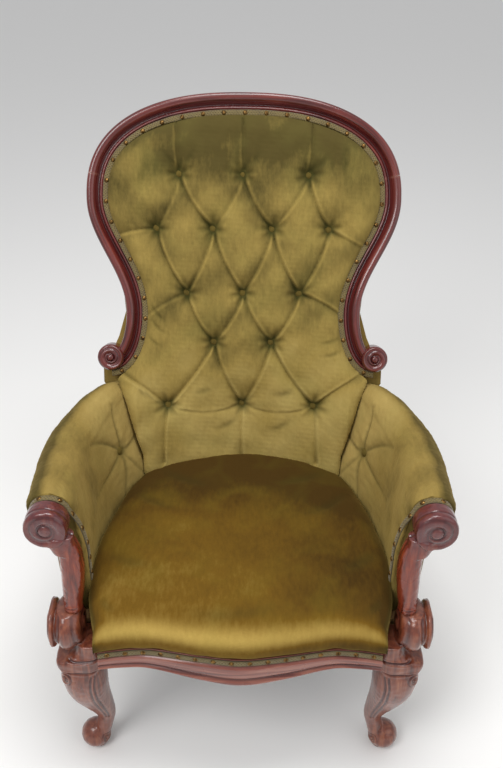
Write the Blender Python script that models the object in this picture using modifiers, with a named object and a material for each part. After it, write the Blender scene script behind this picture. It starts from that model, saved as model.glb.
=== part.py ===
"""A spoon-back armchair with a deep-buttoned back, in metres, +Z up, facing -Y.

The carved show-wood frame, the hidden beech frame, the webbing, springs, stuffing and covers are separate
solids. Left and right are as seen from the front, so left is -X. Points of the back are given as
(x, rise, lift): rise runs up the raked front face of the back frame from the line of the two scrolls, and
lift stands forward from that face.
"""
import math

import bmesh
import bpy
from mathutils import Matrix, Vector

GAP = 0.0003          # clearance between pieces that touch
EDGE_GAP = 0.0008     # the same along curved edges

# The back frame: a horseshoe of moulded mahogany that ends in a scroll at each side
RAKE = math.radians(23.2)
SCROLL_X, SCROLL_Y, SCROLL_Z = 0.2625, 0.160, 0.594
SCROLL_R = 0.026
SCROLL_PROUD = 0.004
CREST_RISE = 0.509    # top of the crest
BACK_HALF = 0.305     # widest half-width
WIDE_RISE = 0.31
WAIST_HALF = 0.231
WAIST_RISE = 0.09
JOINT_RISE = 0.355    # where the crest rail meets the side rails
MOULD_W = 0.031       # carved moulding
STRIP_W = 0.013       # flat strip inside it, which carries the gimp
FRAME_T = 0.032
STRIP_DROP = 0.0075   # how far the strip lies below the moulding's top
CURL_DROP = 0.0105    # the moulding's centre line ends this far below the scroll's centre

# Seat frame
RAIL_TOP = 0.342
RAIL_BOTTOM = 0.292
RAIL_T = 0.030
FRONT_RAIL_Y = -0.372
FRONT_RAIL_END = 0.2347
FRONT_RAIL_BOTTOM = 0.283

# Front legs, arm posts and arms
LEG_X, LEG_Y = 0.273, -0.3185
BLOCK_HALF_X, BLOCK_HALF_Y = 0.038, 0.0335
BLOCK_TOP = 0.338
FOOT_X, FOOT_Y, FOOT_R = 0.274, -0.283, 0.0275
VOLUTE_X, VOLUTE_Y, VOLUTE_Z, VOLUTE_R = 0.2885, -0.3105, 0.362, 0.045
VOLUTE_W = 0.053
POST_FOOT_Z = 0.398
KNOB_X, KNOB_Z, KNOB_R = 0.303, 0.567, 0.0345
KNOB_FRONT, KNOB_BACK = -0.320, -0.2650
ARM_RAIL_R = 0.0125

# Back legs, which run up behind the scrolls
BACK_FOOT_Y = 0.405
BACK_LEG_X, BACK_LEG_HALF = 0.214, 0.0165
BACK_LEG_FRONT = 0.178
ARM_BACK = 0.1675      # the arms end just before the uprights

# Upholstery
SEAT_BACK_Y = 0.101
SEAT_CROWN = 0.417
CLOTH_T = 0.0015
COVER_T = 0.003
COVER_DROP = 0.025    # the outside back ends this far below the crest's top
GIMP_W, GIMP_T = 0.0115, 0.0025
STUD_R, STUD_H = 0.0046, 0.0030
BACK_STUD_PITCH = 0.040
ARM_STUD_PITCH = 0.034
FRONT_STUD_PITCH = 0.0295
BUTTON_R, BUTTON_H = 0.0092, 0.0070
BUTTON_ROWS = ((0.152, (-0.126, -0.003, 0.124)),    # how far each row lies below the crest's top, and its x places
               (0.259, (-0.167, -0.060, 0.057, 0.166)),
               (0.380, (-0.111, 0.0, 0.109)),
               (0.479, (-0.057, 0.055)),
               (0.607, (-0.148, -0.001, 0.145)))
PAD_FOOT = -0.240     # rise of the back pad's lower edge
BUTTON_LIFTS = ((-0.25, -0.052), (-0.098, -0.040), (0.03, -0.022),
                (0.129, -0.016), (0.25, -0.011), (0.357, -0.008))
PAD_REAR_LIFT, PAD_REAR_SLOPE = -0.0285, 0.085
UPRIGHT_TOP = 0.28     # rise at which the uprights end behind the frame
PAD_CROWN = 0.017
PAD_WING = 0.045      # how far the pad comes forward beside the arms
CREASE = ((0.245, -0.042), (0.2256, -0.0864), (0.2085, -0.145), (0.1915, -0.195))
SPRING_R, WIRE_R, SPRING_TURNS = 0.036, 0.0018, 3
SPRING_PLACES = ((-0.10, -0.235), (0.10, -0.235), (-0.15, -0.125), (0.0, -0.135), (0.15, -0.125),
                 (-0.085, -0.02), (0.085, -0.02))


# Finishes
def finish(name, colour, roughness, metallic=0.0):
    mat = bpy.data.materials.new(name)
    mat.use_nodes = True
    shader = mat.node_tree.nodes["Principled BSDF"]
    shader.inputs["Base Color"].default_value = (*colour, 1.0)
    shader.inputs["Roughness"].default_value = roughness
    shader.inputs["Metallic"].default_value = metallic
    return mat


def clear_scene():
    for obj in list(bpy.data.objects):
        bpy.data.objects.remove(obj, do_unlink=True)


# Small shared builders
class Shop:
    """Holds the collections and finishes that every piece is made with."""

    def __init__(self):
        self.parts = bpy.data.collections.new("spoon_back_armchair")
        bpy.context.scene.collection.children.link(self.parts)
        self.mahogany = finish("mahogany", (0.19, 0.045, 0.032), 0.32)
        self.beech = finish("beech", (0.50, 0.33, 0.19), 0.6)
        self.velvet = finish("velvet", (0.22, 0.17, 0.045), 0.9)
        self.gimp = finish("gimp", (0.20, 0.15, 0.05), 0.85)
        self.hessian = finish("hessian", (0.42, 0.31, 0.18), 0.95)
        self.cloth = finish("black_cloth", (0.02, 0.02, 0.02), 0.95)
        self.steel = finish("spring_steel", (0.35, 0.33, 0.31), 0.4, 1.0)

    def link(self, obj, mat=None):
        self.parts.objects.link(obj)
        if mat:
            obj.data.materials.clear()
            obj.data.materials.append(mat)
        return obj


def mesh_piece(shop, name, verts, faces, mat):
    """A mesh object with its faces turned outwards."""
    mesh = bpy.data.meshes.new(name)
    mesh.from_pydata([tuple(v) for v in verts], [], faces)
    work = bmesh.new()
    work.from_mesh(mesh)
    bmesh.ops.recalc_face_normals(work, faces=work.faces)
    work.to_mesh(mesh)
    work.free()
    mesh.shade_smooth()
    mesh.set_sharp_from_angle(angle=math.radians(35))
    return shop.link(bpy.data.objects.new(name, mesh), mat)


def baked(shop, obj, mat, weld=0.00002):
    """Turns an object with modifiers, or a curve, into a plain welded mesh in world space."""
    bpy.context.view_layer.update()
    graph = bpy.context.evaluated_depsgraph_get()
    mesh = bpy.data.meshes.new_from_object(obj.evaluated_get(graph))
    mesh.transform(obj.matrix_world)
    work = bmesh.new()
    work.from_mesh(mesh)
    bmesh.ops.remove_doubles(work, verts=work.verts, dist=weld)
    bmesh.ops.recalc_face_normals(work, faces=work.faces)
    work.to_mesh(mesh)
    work.free()
    name = obj.name
    bpy.data.objects.remove(obj, do_unlink=True)
    return shop.link(bpy.data.objects.new(name, mesh), mat)


def joined(shop, obj, other, operation, mat):
    """The Boolean of two closed pieces. The second one is used up."""
    cut = obj.modifiers.new(operation.lower(), "BOOLEAN")
    cut.operation = operation
    cut.solver = "EXACT"
    cut.object = other
    result = baked(shop, obj, mat, weld=0.000001)
    bpy.data.objects.remove(other, do_unlink=True)
    return result


def mirrored(shop, obj, name, mat):
    """The same piece on the chair's other side."""
    mesh = obj.data.copy()
    mesh.transform(Matrix.Scale(-1.0, 4, Vector((1, 0, 0))))
    mesh.flip_normals()
    return shop.link(bpy.data.objects.new(name, mesh), mat)


def spline(curve, points, closed=False, radii=None):
    line = curve.splines.new("POLY")
    line.points.add(len(points) - 1)
    for i, point in enumerate(points):
        line.points[i].co = (*point, 1.0) if len(point) == 3 else (*point, 0.0, 1.0)
        if radii:
            line.points[i].radius = radii[i]
    line.use_cyclic_u = closed
    return line


def slab(shop, name, outlines, thickness, place, mat):
    """A flat outline, with any holes in it, extruded both ways to the given thickness."""
    curve = bpy.data.curves.new(name, "CURVE")
    curve.dimensions = "2D"
    curve.fill_mode = "BOTH"
    curve.extrude = thickness / 2
    for outline in outlines:
        spline(curve, outline, closed=True)
    obj = shop.link(bpy.data.objects.new(name, curve), mat)
    obj.matrix_world = place
    return baked(shop, obj, mat)


def swept(shop, name, profile, path, place, mat):
    """A moulding: the profile (aside, up) carried along a flat path. Aside is to the path's right."""
    shape = bpy.data.curves.new(name + "_profile", "CURVE")
    shape.dimensions = "2D"
    spline(shape, profile, closed=True)
    guide = bpy.data.objects.new(name + "_profile", shape)
    shop.link(guide)
    curve = bpy.data.curves.new(name, "CURVE")
    curve.dimensions = "2D"
    curve.fill_mode = "NONE"
    curve.bevel_mode = "OBJECT"
    curve.bevel_object = guide
    curve.use_fill_caps = True
    spline(curve, path)
    obj = shop.link(bpy.data.objects.new(name, curve), mat)
    obj.matrix_world = place
    result = baked(shop, obj, mat)
    bpy.data.objects.remove(guide, do_unlink=True)
    return result


def tube(shop, name, points, radii, sides, mat):
    """A round bar along a path, as thick at each point as its radius there says."""
    curve = bpy.data.curves.new(name, "CURVE")
    curve.dimensions = "3D"
    curve.bevel_depth = 1.0
    curve.bevel_resolution = sides // 2 - 2
    curve.use_fill_caps = True
    spline(curve, points, radii=radii)
    obj = shop.link(bpy.data.objects.new(name, curve), mat)
    return baked(shop, obj, mat)


def turned(shop, name, profile, place, mat, steps=20):
    """A turned piece: the profile (radius, height) runs down its outer side, about local Z."""
    mesh = bpy.data.meshes.new(name)
    edges = [(i, i + 1) for i in range(len(profile) - 1)]
    mesh.from_pydata([(r, 0.0, h) for r, h in profile], edges, [])
    obj = shop.link(bpy.data.objects.new(name, mesh), mat)
    screw = obj.modifiers.new("turn", "SCREW")
    screw.steps = steps
    screw.render_steps = steps
    screw.use_merge_vertices = True
    screw.merge_threshold = 0.00005
    obj.matrix_world = place
    return baked(shop, obj, mat)


def box(shop, name, low, high, mat):
    work = bmesh.new()
    size = [b - a for a, b in zip(low, high)]
    middle = [(a + b) / 2 for a, b in zip(low, high)]
    bmesh.ops.create_cube(work, size=1.0, matrix=Matrix.Translation(middle) @ Matrix.Diagonal((*size, 1.0)))
    mesh = bpy.data.meshes.new(name)
    work.to_mesh(mesh)
    work.free()
    return shop.link(bpy.data.objects.new(name, mesh), mat)


def loft(shop, name, rings, mat):
    """A closed body through rings of equally many points, with flat ends."""
    count = len(rings[0])
    verts = [p for ring in rings for p in ring]
    faces = [list(range(count)), list(range(len(verts) - count, len(verts)))]
    for r in range(len(rings) - 1):
        for i in range(count):
            j = (i + 1) % count
            faces.append([r * count + i, r * count + j, (r + 1) * count + j, (r + 1) * count + i])
    return mesh_piece(shop, name, verts, faces, mat)


# Curves and the shapes that several pieces share
def through(knots, value):
    """Smooth value at a place, through (place, value) knots in rising order."""
    if value <= knots[0][0]:
        return knots[0][1]
    if value >= knots[-1][0]:
        return knots[-1][1]
    i = max(k for k in range(len(knots) - 1) if knots[k][0] <= value)
    (x0, y0), (x1, y1) = knots[i], knots[i + 1]
    before = knots[max(i - 1, 0)]
    after = knots[min(i + 2, len(knots) - 1)]
    m0 = (y1 - before[1]) / (x1 - before[0])
    m1 = (after[1] - y0) / (after[0] - x0)
    t = (value - x0) / (x1 - x0)
    h = x1 - x0
    return ((2 * t ** 3 - 3 * t ** 2 + 1) * y0 + (t ** 3 - 2 * t ** 2 + t) * h * m0
            + (3 * t ** 2 - 2 * t ** 3) * y1 + (t ** 3 - t ** 2) * h * m1)


def between(knots, value):
    """Straight-line value at a place, through (place, value) knots in rising order."""
    value = min(max(value, knots[0][0]), knots[-1][0])
    i = max(k for k in range(len(knots) - 1) if knots[k][0] <= value)
    (x0, y0), (x1, y1) = knots[i], knots[i + 1]
    return y0 + (y1 - y0) * (value - x0) / (x1 - x0)


def ease(value, low, high):
    """0 below low, 1 above high, smooth between."""
    t = min(max((value - low) / (high - low), 0.0), 1.0)
    return t * t * (3 - 2 * t)


def shifted(path, aside):
    """A flat path moved sideways, to its own right for a positive distance."""
    result = []
    for i, (x, y) in enumerate(path):
        x0, y0 = path[max(i - 1, 0)]
        x1, y1 = path[min(i + 1, len(path) - 1)]
        length = math.hypot(x1 - x0, y1 - y0)
        result.append((x + aside * (y1 - y0) / length, y - aside * (x1 - x0) / length))
    return result


def marks(path, pitch):
    """Points at an even pitch along a flat path, half a pitch from its ends."""
    lengths = [0.0]
    for (x0, y0), (x1, y1) in zip(path, path[1:]):
        lengths.append(lengths[-1] + math.hypot(x1 - x0, y1 - y0))
    count = max(1, round(lengths[-1] / pitch))
    result = []
    for n in range(count):
        goal = lengths[-1] * (n + 0.5) / count
        i = max(k for k in range(len(path) - 1) if lengths[k] <= goal)
        t = (goal - lengths[i]) / (lengths[i + 1] - lengths[i])
        result.append(tuple(a + t * (b - a) for a, b in zip(path[i], path[i + 1])))
    return result


def back_place(lift=0.0):
    """The frame of the back's raked face: X aside, Y up the rake, Z forward."""
    up = Vector((0, math.sin(RAKE), math.cos(RAKE)))
    out = Vector((0, -math.cos(RAKE), math.sin(RAKE)))
    place = Matrix.Identity(4)
    for row in range(3):
        place[row][0] = (1.0, 0.0, 0.0)[row]
        place[row][1] = up[row]
        place[row][2] = out[row]
    place.translation = Vector((0, SCROLL_Y, SCROLL_Z)) + out * lift
    return place


def horseshoe():
    """Centre line of the moulding's right half, (x, rise), from the top to the scroll."""
    outer = []
    for i in range(15):
        angle = math.pi / 2 * (1 - i / 14)
        across = max(math.cos(angle), 0.0) ** (2 / 2.4)
        up = math.sin(angle) ** (2 / 2.4)
        outer.append((BACK_HALF * across, WIDE_RISE + (CREST_RISE - WIDE_RISE) * up))
    for i in range(1, 9):
        t = i / 8
        x = WAIST_HALF + (BACK_HALF - WAIST_HALF) * (1 + math.cos(math.pi * t)) / 2
        outer.append((x, WIDE_RISE + (WAIST_RISE - WIDE_RISE) * t))
    path = shifted(outer, MOULD_W / 2)
    path[0] = (0.0, CREST_RISE - MOULD_W / 2)
    start = path[-1]
    wide, tall = SCROLL_X - start[0], start[1] + CURL_DROP
    for i in range(1, 7):
        angle = math.pi / 2 * i / 6
        path.append((SCROLL_X - wide * math.cos(angle), start[1] - tall * math.sin(angle)))
    return path


def full_horseshoe():
    """The whole centre line, from the left scroll over the top to the right one."""
    half = horseshoe()
    return [(-x, rise) for x, rise in reversed(half[1:])] + half


def pad_outline(grow=0.0):
    """Right half of the back pad's outline, (x, rise), from the top's middle to the foot."""
    inner = shifted(horseshoe(), MOULD_W / 2 + STRIP_W + EDGE_GAP - grow)
    inner[0] = (0.0, CREST_RISE - MOULD_W - STRIP_W - EDGE_GAP + grow)
    frame_part = [(x, rise) for x, rise in inner if rise > -0.02]
    return frame_part + [(x + grow, rise) for x, rise in CREASE] + [(CREASE[-1][0] + grow, PAD_FOOT)]


PAD_CORNER_X = 0.15   # the pad's top edge runs between its corners


def pad_sides():
    """Half-width of the back pad as (rise, x) knots, from its foot to its top corners."""
    return sorted((rise, x) for x, rise in pad_outline() if x > PAD_CORNER_X)


def pad_top(x):
    """Rise of the pad's top edge."""
    knots = [(x, rise) for x, rise in pad_outline() if rise > WIDE_RISE]
    return between(knots, min(abs(x), pad_sides()[-1][1]))


def button_lift(rise):
    return through(BUTTON_LIFTS, rise)


def rear_lift(rise):
    return PAD_REAR_LIFT + PAD_REAR_SLOPE * (rise - UPRIGHT_TOP)


def seat_side(y):
    """Half-width of the seat between the arms."""
    return through(((-0.345, 0.240), (-0.30, 0.254), (-0.25, 0.2595), (-0.20, 0.2605), (-0.12, 0.252),
                    (-0.04, 0.2345), (0.0, 0.2175), (0.052, 0.190), (0.165, 0.197)), y)


def front_rail_y(x):
    """Serpentine of the seat's front in plan."""
    wave = ((0.0, 0.0), (0.07, 0.008), (0.155, 0.022), (0.20, 0.019), (0.24, 0.012))
    return FRONT_RAIL_Y + through(wave, abs(x))


def front_rail_bottom(x):
    return FRONT_RAIL_BOTTOM + through(((0.0, 0.0), (0.06, 0.004), (0.155, 0.017), (0.235, 0.024)), abs(x))


def arm_roll(y):
    """Centre x, centre z and radius of the arm's rolled top."""
    x = through(((-0.265, 0.303), (-0.20, 0.309), (-0.12, 0.314), (-0.05, 0.311), (0.03, 0.296), (0.10, 0.274),
                 (0.135, 0.263), (0.168, 0.256)), y)
    z = through(((-0.265, 0.567), (-0.20, 0.555), (-0.12, 0.540), (-0.05, 0.533), (0.03, 0.528), (0.10, 0.525),
                 (0.135, 0.517), (0.168, 0.505)), y)
    radius = through(((-0.265, 0.038), (-0.12, 0.040), (0.03, 0.038), (0.10, 0.034), (0.168, 0.028)), y)
    return x, z, radius


def oval_ring(x, y, z, half_x, half_y, power, count):
    """A level ring, round at power 2 and squarer above it."""
    ring = []
    for i in range(count):
        angle = 2 * math.pi * (i + 0.5) / count
        c, s = math.cos(angle), math.sin(angle)
        ring.append((x + half_x * math.copysign(abs(c) ** (2 / power), c),
                     y + half_y * math.copysign(abs(s) ** (2 / power), s), z))
    return ring


# Show-wood
MOULDING = ((-0.0155, -0.030), (-0.0155, -0.008), (-0.0143, -0.003), (-0.0110, 0.0), (-0.0055, -0.0003),
            (-0.0005, -0.0025), (0.0030, -0.0065), (0.0058, -0.0108), (0.0090, -0.0115), (0.0110, -0.0080),
            (0.0130, -0.0058), (MOULD_W / 2, -STRIP_DROP), (MOULD_W / 2 + STRIP_W, -STRIP_DROP),
            (MOULD_W / 2 + STRIP_W, -FRAME_T), (-0.0135, -FRAME_T))


def cut_at_joint(path, gap):
    """Splits the right half's centre line at the crest joint, with a gap between the two."""
    i = max(k for k in range(len(path) - 1) if path[k][1] > JOINT_RISE)
    (x0, r0), (x1, r1) = path[i], path[i + 1]
    t = (r0 - JOINT_RISE) / (r0 - r1)
    length = math.hypot(x1 - x0, r1 - r0)
    step = gap / 2 / length
    above = (x0 + (t - step) * (x1 - x0), r0 + (t - step) * (r1 - r0))
    below = (x0 + (t + step) * (x1 - x0), r0 + (t + step) * (r1 - r0))
    return path[:i + 1] + [above], [below] + path[i + 1:]


def make_crest(shop):
    upper, _ = cut_at_joint(horseshoe(), GAP)
    path = [(-x, rise) for x, rise in reversed(upper[1:])] + upper
    swept(shop, "crest_rail", MOULDING, path, back_place(), shop.mahogany)


def make_side_rails(shop):
    _, lower = cut_at_joint(horseshoe(), GAP)
    rail = swept(shop, "back_side_rail_right", MOULDING, lower, back_place(), shop.mahogany)
    r, top = SCROLL_R, SCROLL_PROUD
    disc = ((0.0, top + 0.003), (0.005, top + 0.0022), (0.008, top - 0.001), (0.010, top - 0.0045),
            (0.013, top - 0.001), (0.017, top), (0.021, top - 0.0025), (0.0235, top - 0.003),
            (r - 0.001, top - 0.006), (r, -0.012), (r, -FRAME_T + 0.0006), (0.0, -FRAME_T + 0.0006))
    place = back_place() @ Matrix.Translation((SCROLL_X, 0, 0))
    scroll = turned(shop, "scroll", disc, place, shop.mahogany, steps=16)
    rail = joined(shop, rail, scroll, "UNION", shop.mahogany)
    mirrored(shop, rail, "back_side_rail_left", shop.mahogany)


def make_front_legs(shop):
    bx, by = BLOCK_HALF_X, BLOCK_HALF_Y
    shape = ((0.010, 0.268, FOOT_Y + 0.002, 0.017, 0.018, 2.0), (0.045, 0.258, FOOT_Y, 0.0155, 0.017, 2.0),
             (0.083, 0.250, FOOT_Y, 0.0165, 0.0185, 2.0), (0.12, 0.254, FOOT_Y - 0.007, 0.0205, 0.0235, 2.2),
             (0.16, 0.262, FOOT_Y - 0.018, 0.027, 0.030, 2.4), (0.20, 0.268, FOOT_Y - 0.028, 0.0335, 0.036, 2.6),
             (0.232, 0.270, LEG_Y + 0.003, 0.0365, 0.037, 2.8), (0.258, LEG_X - 0.001, LEG_Y, 0.035, 0.034, 3.2),
             (0.276, LEG_X, LEG_Y, bx - 0.006, by - 0.005, 4.0), (0.286, LEG_X, LEG_Y, bx, by, 5.0),
             (0.302, LEG_X, LEG_Y, bx, by, 5.0), (0.310, LEG_X, LEG_Y, bx - 0.003, by - 0.003, 5.0),
             (BLOCK_TOP, LEG_X, LEG_Y, bx - 0.003, by - 0.003, 5.0))
    rings = [oval_ring(x, y, z, hx, hy, power, 12) for z, x, y, hx, hy, power in shape]
    leg = loft(shop, "front_leg_right", rings, shop.mahogany)
    foot = turned(shop, "foot", round_profile(FOOT_R, 6), Matrix.Translation((FOOT_X, FOOT_Y, FOOT_R - 0.0015)),
                  shop.mahogany, steps=12)
    leg = joined(shop, leg, foot, "UNION", shop.mahogany)
    toe = turned(shop, "toe", ((0.0, 0.004), (0.008, 0.003), (0.010, 0.0), (0.010, -0.02), (0.0, -0.02)),
                 Matrix.Translation((FOOT_X, FOOT_Y - FOOT_R, FOOT_R - 0.001)) @ Matrix.Rotation(math.pi / 2, 4, "X"),
                 shop.mahogany, steps=8)
    leg = joined(shop, leg, toe, "UNION", shop.mahogany)
    half, r = VOLUTE_W / 2, VOLUTE_R
    drum = ((0.0, half + 0.004), (0.013, half + 0.004), (0.015, half + 0.001), (0.018, half - 0.001),
            (r - 0.010, half - 0.001), (r - 0.003, half - 0.004), (r, half - 0.012), (r, -half + 0.012),
            (r - 0.003, -half + 0.004), (r - 0.010, -half), (0.0, -half))
    place = Matrix.Translation((VOLUTE_X, VOLUTE_Y, VOLUTE_Z)) @ Matrix.Rotation(math.pi / 2, 4, "Y")
    volute = turned(shop, "volute", drum, place, shop.mahogany, steps=16)
    leg = joined(shop, leg, volute, "UNION", shop.mahogany)
    seat = box(shop, "post_seat", (0.2, -0.4, POST_FOOT_Z), (0.4, -0.2, POST_FOOT_Z + 0.1), shop.mahogany)
    leg = joined(shop, leg, seat, "DIFFERENCE", shop.mahogany)
    rail = box(shop, "rail_clearance", (0.2, LEG_Y + BLOCK_HALF_Y, 0.25), (0.4, -0.2, RAIL_TOP + CLOTH_T + GAP),
               shop.mahogany)
    leg = joined(shop, leg, rail, "DIFFERENCE", shop.mahogany)
    floor = box(shop, "floor_cut", (0.2, -0.4, -0.1), (0.4, -0.2, 0.0), shop.mahogany)
    leg = joined(shop, leg, floor, "DIFFERENCE", shop.mahogany)
    mirrored(shop, leg, "front_leg_left", shop.mahogany)


def round_profile(radius, steps):
    """Half circle from pole to pole, for a ball."""
    return [(radius * math.sin(math.pi * i / steps), radius * math.cos(math.pi * i / steps))
            for i in range(steps + 1)]


def make_arm_posts(shop):
    foot = POST_FOOT_Z + GAP
    points = ((0.275, VOLUTE_Y, foot), (0.275, VOLUTE_Y, foot + 0.012), (0.2715, -0.306, 0.45),
              (0.2705, -0.301, 0.49), (0.2745, -0.298, 0.525), (0.286, -0.296, 0.552))
    radii = (0.0160, 0.0155, 0.0182, 0.0188, 0.0172, 0.0150)
    post = tube(shop, "arm_post_right", points, radii, 12, shop.mahogany)
    long, r = KNOB_BACK - KNOB_FRONT, KNOB_R
    knob = ((0.0, long), (0.007, long - 0.001), (0.009, long - 0.005), (0.012, long - 0.003),
            (0.019, long - 0.004), (0.026, long - 0.009), (r - 0.003, long - 0.017), (r, long - 0.028),
            (r - 0.001, 0.014), (r - 0.004, 0.0125), (r - 0.004, 0.0), (0.0, 0.0))
    place = Matrix.Translation((KNOB_X, KNOB_BACK, KNOB_Z)) @ Matrix.Rotation(math.pi / 2, 4, "X")
    ball = turned(shop, "knob", knob, place, shop.mahogany, steps=16)
    post = joined(shop, post, ball, "UNION", shop.mahogany)
    mirrored(shop, post, "arm_post_left", shop.mahogany)


def front_stations():
    return [FRONT_RAIL_END * i / 12 for i in range(-12, 13)]


def make_front_rail(shop):
    rings = []
    for x in front_stations():
        y, low = front_rail_y(x), front_rail_bottom(x)
        section = ((y + RAIL_T, RAIL_TOP), (y + 0.001, RAIL_TOP), (y, RAIL_TOP - 0.001),
                   (y, RAIL_TOP - GIMP_W - 0.002), (y - 0.004, RAIL_TOP - GIMP_W - 0.006), (y - 0.005, low + 0.012),
                   (y - 0.003, low + 0.004), (y + 0.003, low), (y + RAIL_T, low))
        rings.append([(x, a, b) for a, b in section])
    loft(shop, "front_seat_rail", rings, shop.mahogany)


# Hidden frame
def back_leg_shape():
    """Centre x, front (y, z) and rear (y, z) of the leg and upright, from the foot to behind the frame."""
    rows = []
    for z, x, front, deep in ((0.0, 0.222, BACK_FOOT_Y - 0.015, 0.030), (0.10, 0.217, 0.322, 0.032),
                              (0.20, BACK_LEG_X, 0.250, 0.036), (RAIL_BOTTOM, BACK_LEG_X, 0.192, 0.044),
                              (RAIL_TOP, BACK_LEG_X, BACK_LEG_FRONT, 0.044), (0.433, 0.229, 0.1685, 0.036),
                              (0.489, 0.246, 0.1685, 0.035), (0.530, 0.2655, 0.1700, 0.034)):
        rows.append((x, (front, z), (front + deep, z)))
    for rise, x in ((-0.022, 0.2655), (0.0, 0.251), (0.04, 0.233), (WAIST_RISE, 0.2185), (0.14, 0.2235),
                    (0.19, 0.243), (0.24, 0.262), (UPRIGHT_TOP, 0.272)):
        front = back_place() @ Vector((0, rise, -FRAME_T - GAP))
        rear = back_place() @ Vector((0, rise, rear_lift(rise) - 2 * CLOTH_T - 4 * GAP))
        rows.append((x, (front.y, front.z), (rear.y, rear.z)))
    return rows


def make_back_legs(shop):
    rings = []
    h = BACK_LEG_HALF
    for x, (y0, z0), (y1, z1) in back_leg_shape():
        rings.append([(x - h, y0, z0), (x + h, y0, z0), (x + h, y1, z1), (x - h, y1, z1)])
    leg = loft(shop, "back_leg_right", rings, shop.mahogany)
    mirrored(shop, leg, "back_leg_left", shop.mahogany)


def flat(z):
    return Matrix.Translation((0, 0, z))


def arm_stations():
    """The y places at which every piece of an arm has a section."""
    front, back = KNOB_BACK + GAP, ARM_BACK
    return [front + (back - front) * i / 12 for i in range(13)]


def side_rail_plan(aside, low, high):
    """The line of the seat's side, moved outwards, as (x, y) from the front to the back."""
    ys = [low] + [y for y in arm_stations() if low + 0.002 < y < high - 0.002] + [high]
    return [(seat_side(y) + aside, y) for y in ys]


def make_seat_frame(shop):
    front, back = LEG_Y + BLOCK_HALF_Y + GAP, BACK_LEG_FRONT - GAP
    middle, tall = (RAIL_TOP + RAIL_BOTTOM) / 2, RAIL_TOP - RAIL_BOTTOM
    plan = side_rail_plan(0.0, front, back) + list(reversed(side_rail_plan(RAIL_T, front, back)))
    rail = slab(shop, "side_seat_rail_right", [plan], tall, flat(middle), shop.beech)
    mirrored(shop, rail, "side_seat_rail_left", shop.beech)
    half = BACK_LEG_X - BACK_LEG_HALF - GAP
    box(shop, "back_seat_rail", (-half, BACK_LEG_FRONT + 0.020, RAIL_BOTTOM),
        (half, BACK_LEG_FRONT + 0.020 + 0.022, RAIL_TOP), shop.beech)


def make_corner_blocks(shop):
    tall = 0.034
    z = RAIL_TOP - 0.004 - tall / 2
    front_y = front_rail_y(0.165) + RAIL_T + EDGE_GAP
    x = seat_side(LEG_Y + BLOCK_HALF_Y) - EDGE_GAP
    inner, rear = LEG_X - BLOCK_HALF_X - EDGE_GAP, LEG_Y + BLOCK_HALF_Y
    plan = [(inner, front_y), (inner - 0.040, front_y), (x - 0.010, rear + 0.045), (x, rear + 0.045),
            (x, rear + EDGE_GAP), (inner, rear)]
    block = slab(shop, "corner_block_front_right", [plan], tall, flat(z), shop.beech)
    mirrored(shop, block, "corner_block_front_left", shop.beech)
    rear = BACK_LEG_FRONT + 0.020 - GAP
    side = seat_side(rear - 0.070) - EDGE_GAP
    plan = [(side, rear - 0.070), (side, rear), (side - 0.055, rear)]
    block = slab(shop, "corner_block_back_right", [plan], tall, flat(z), shop.beech)
    mirrored(shop, block, "corner_block_back_left", shop.beech)


def make_arm_rails(shop):
    front, back = KNOB_BACK + GAP, ARM_BACK
    points = []
    for y in arm_stations():
        x, z, _ = arm_roll(y)
        points.append((x - 0.002, y, z - 0.0068))
    rail = tube(shop, "arm_rail_right", points, [ARM_RAIL_R] * len(points), 10, shop.beech)
    for end, sign in ((front, -1), (back, 1)):
        low = (0.1, min(end, end + sign * 0.1), 0.4)
        high = (0.4, max(end, end + sign * 0.1), 0.7)
        rail = joined(shop, rail, box(shop, "end_cut", low, high, shop.beech), "DIFFERENCE", shop.beech)
    mirrored(shop, rail, "arm_rail_left", shop.beech)


def make_lower_back_rail(shop):
    """A rail between the uprights, behind the back's webbing and the ends of the arms."""
    y = ARM_BACK + 0.007
    uprights = [(front[1], x) for x, front, _ in back_leg_shape()]
    rings = []
    for z in (0.365, 0.400):
        half = between(uprights, z) - BACK_LEG_HALF - GAP
        rings.append([(-half, y, z), (half, y, z), (half, y + 0.024, z), (-half, y + 0.024, z)])
    loft(shop, "lower_back_rail", rings, shop.beech)


# Seat inside
def seat_plan(inset, deeper):
    """Outline of the seat in plan, moved inwards; deeper moves its back edge towards the back pad."""
    right = []
    for i in range(7):
        x = 0.215 * i / 6
        right.append((x * (1 - inset / 0.24), front_rail_y(x) - 0.0035 + inset))
    for y in (-0.342, -0.32, -0.29, -0.25, -0.20, -0.15, -0.10, -0.05, 0.0, 0.03, 0.055):
        right.append((seat_side(y) - 0.0012 - inset, y))
    for x in (0.170, 0.140, 0.095, 0.048):
        right.append((x * (1 - inset / 0.24), SEAT_BACK_Y + deeper - inset - 0.040 * (x / 0.19) ** 2))
    right.append((0.0, SEAT_BACK_Y + deeper - inset))
    return right + [(-x, y) for x, y in reversed(right[1:-1])]


def make_seat_cushion(shop):
    bottom = RAIL_TOP + CLOTH_T + 2 * GAP
    crown = SEAT_CROWN - bottom
    steps = ((0.010, 0.0, 0.0), (0.0, 0.07, 0.0), (-0.0005, 0.30, 0.004), (0.002, 0.52, 0.010),
             (0.013, 0.70, 0.014), (0.030, 0.82, 0.013), (0.055, 0.90, 0.010), (0.090, 0.965, 0.006),
             (0.140, 1.0, 0.0))
    rings = [[(x, y, bottom + crown * up) for x, y in seat_plan(inset, deeper)] for inset, up, deeper in steps]
    loft(shop, "seat_cushion", rings, shop.velvet)


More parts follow.
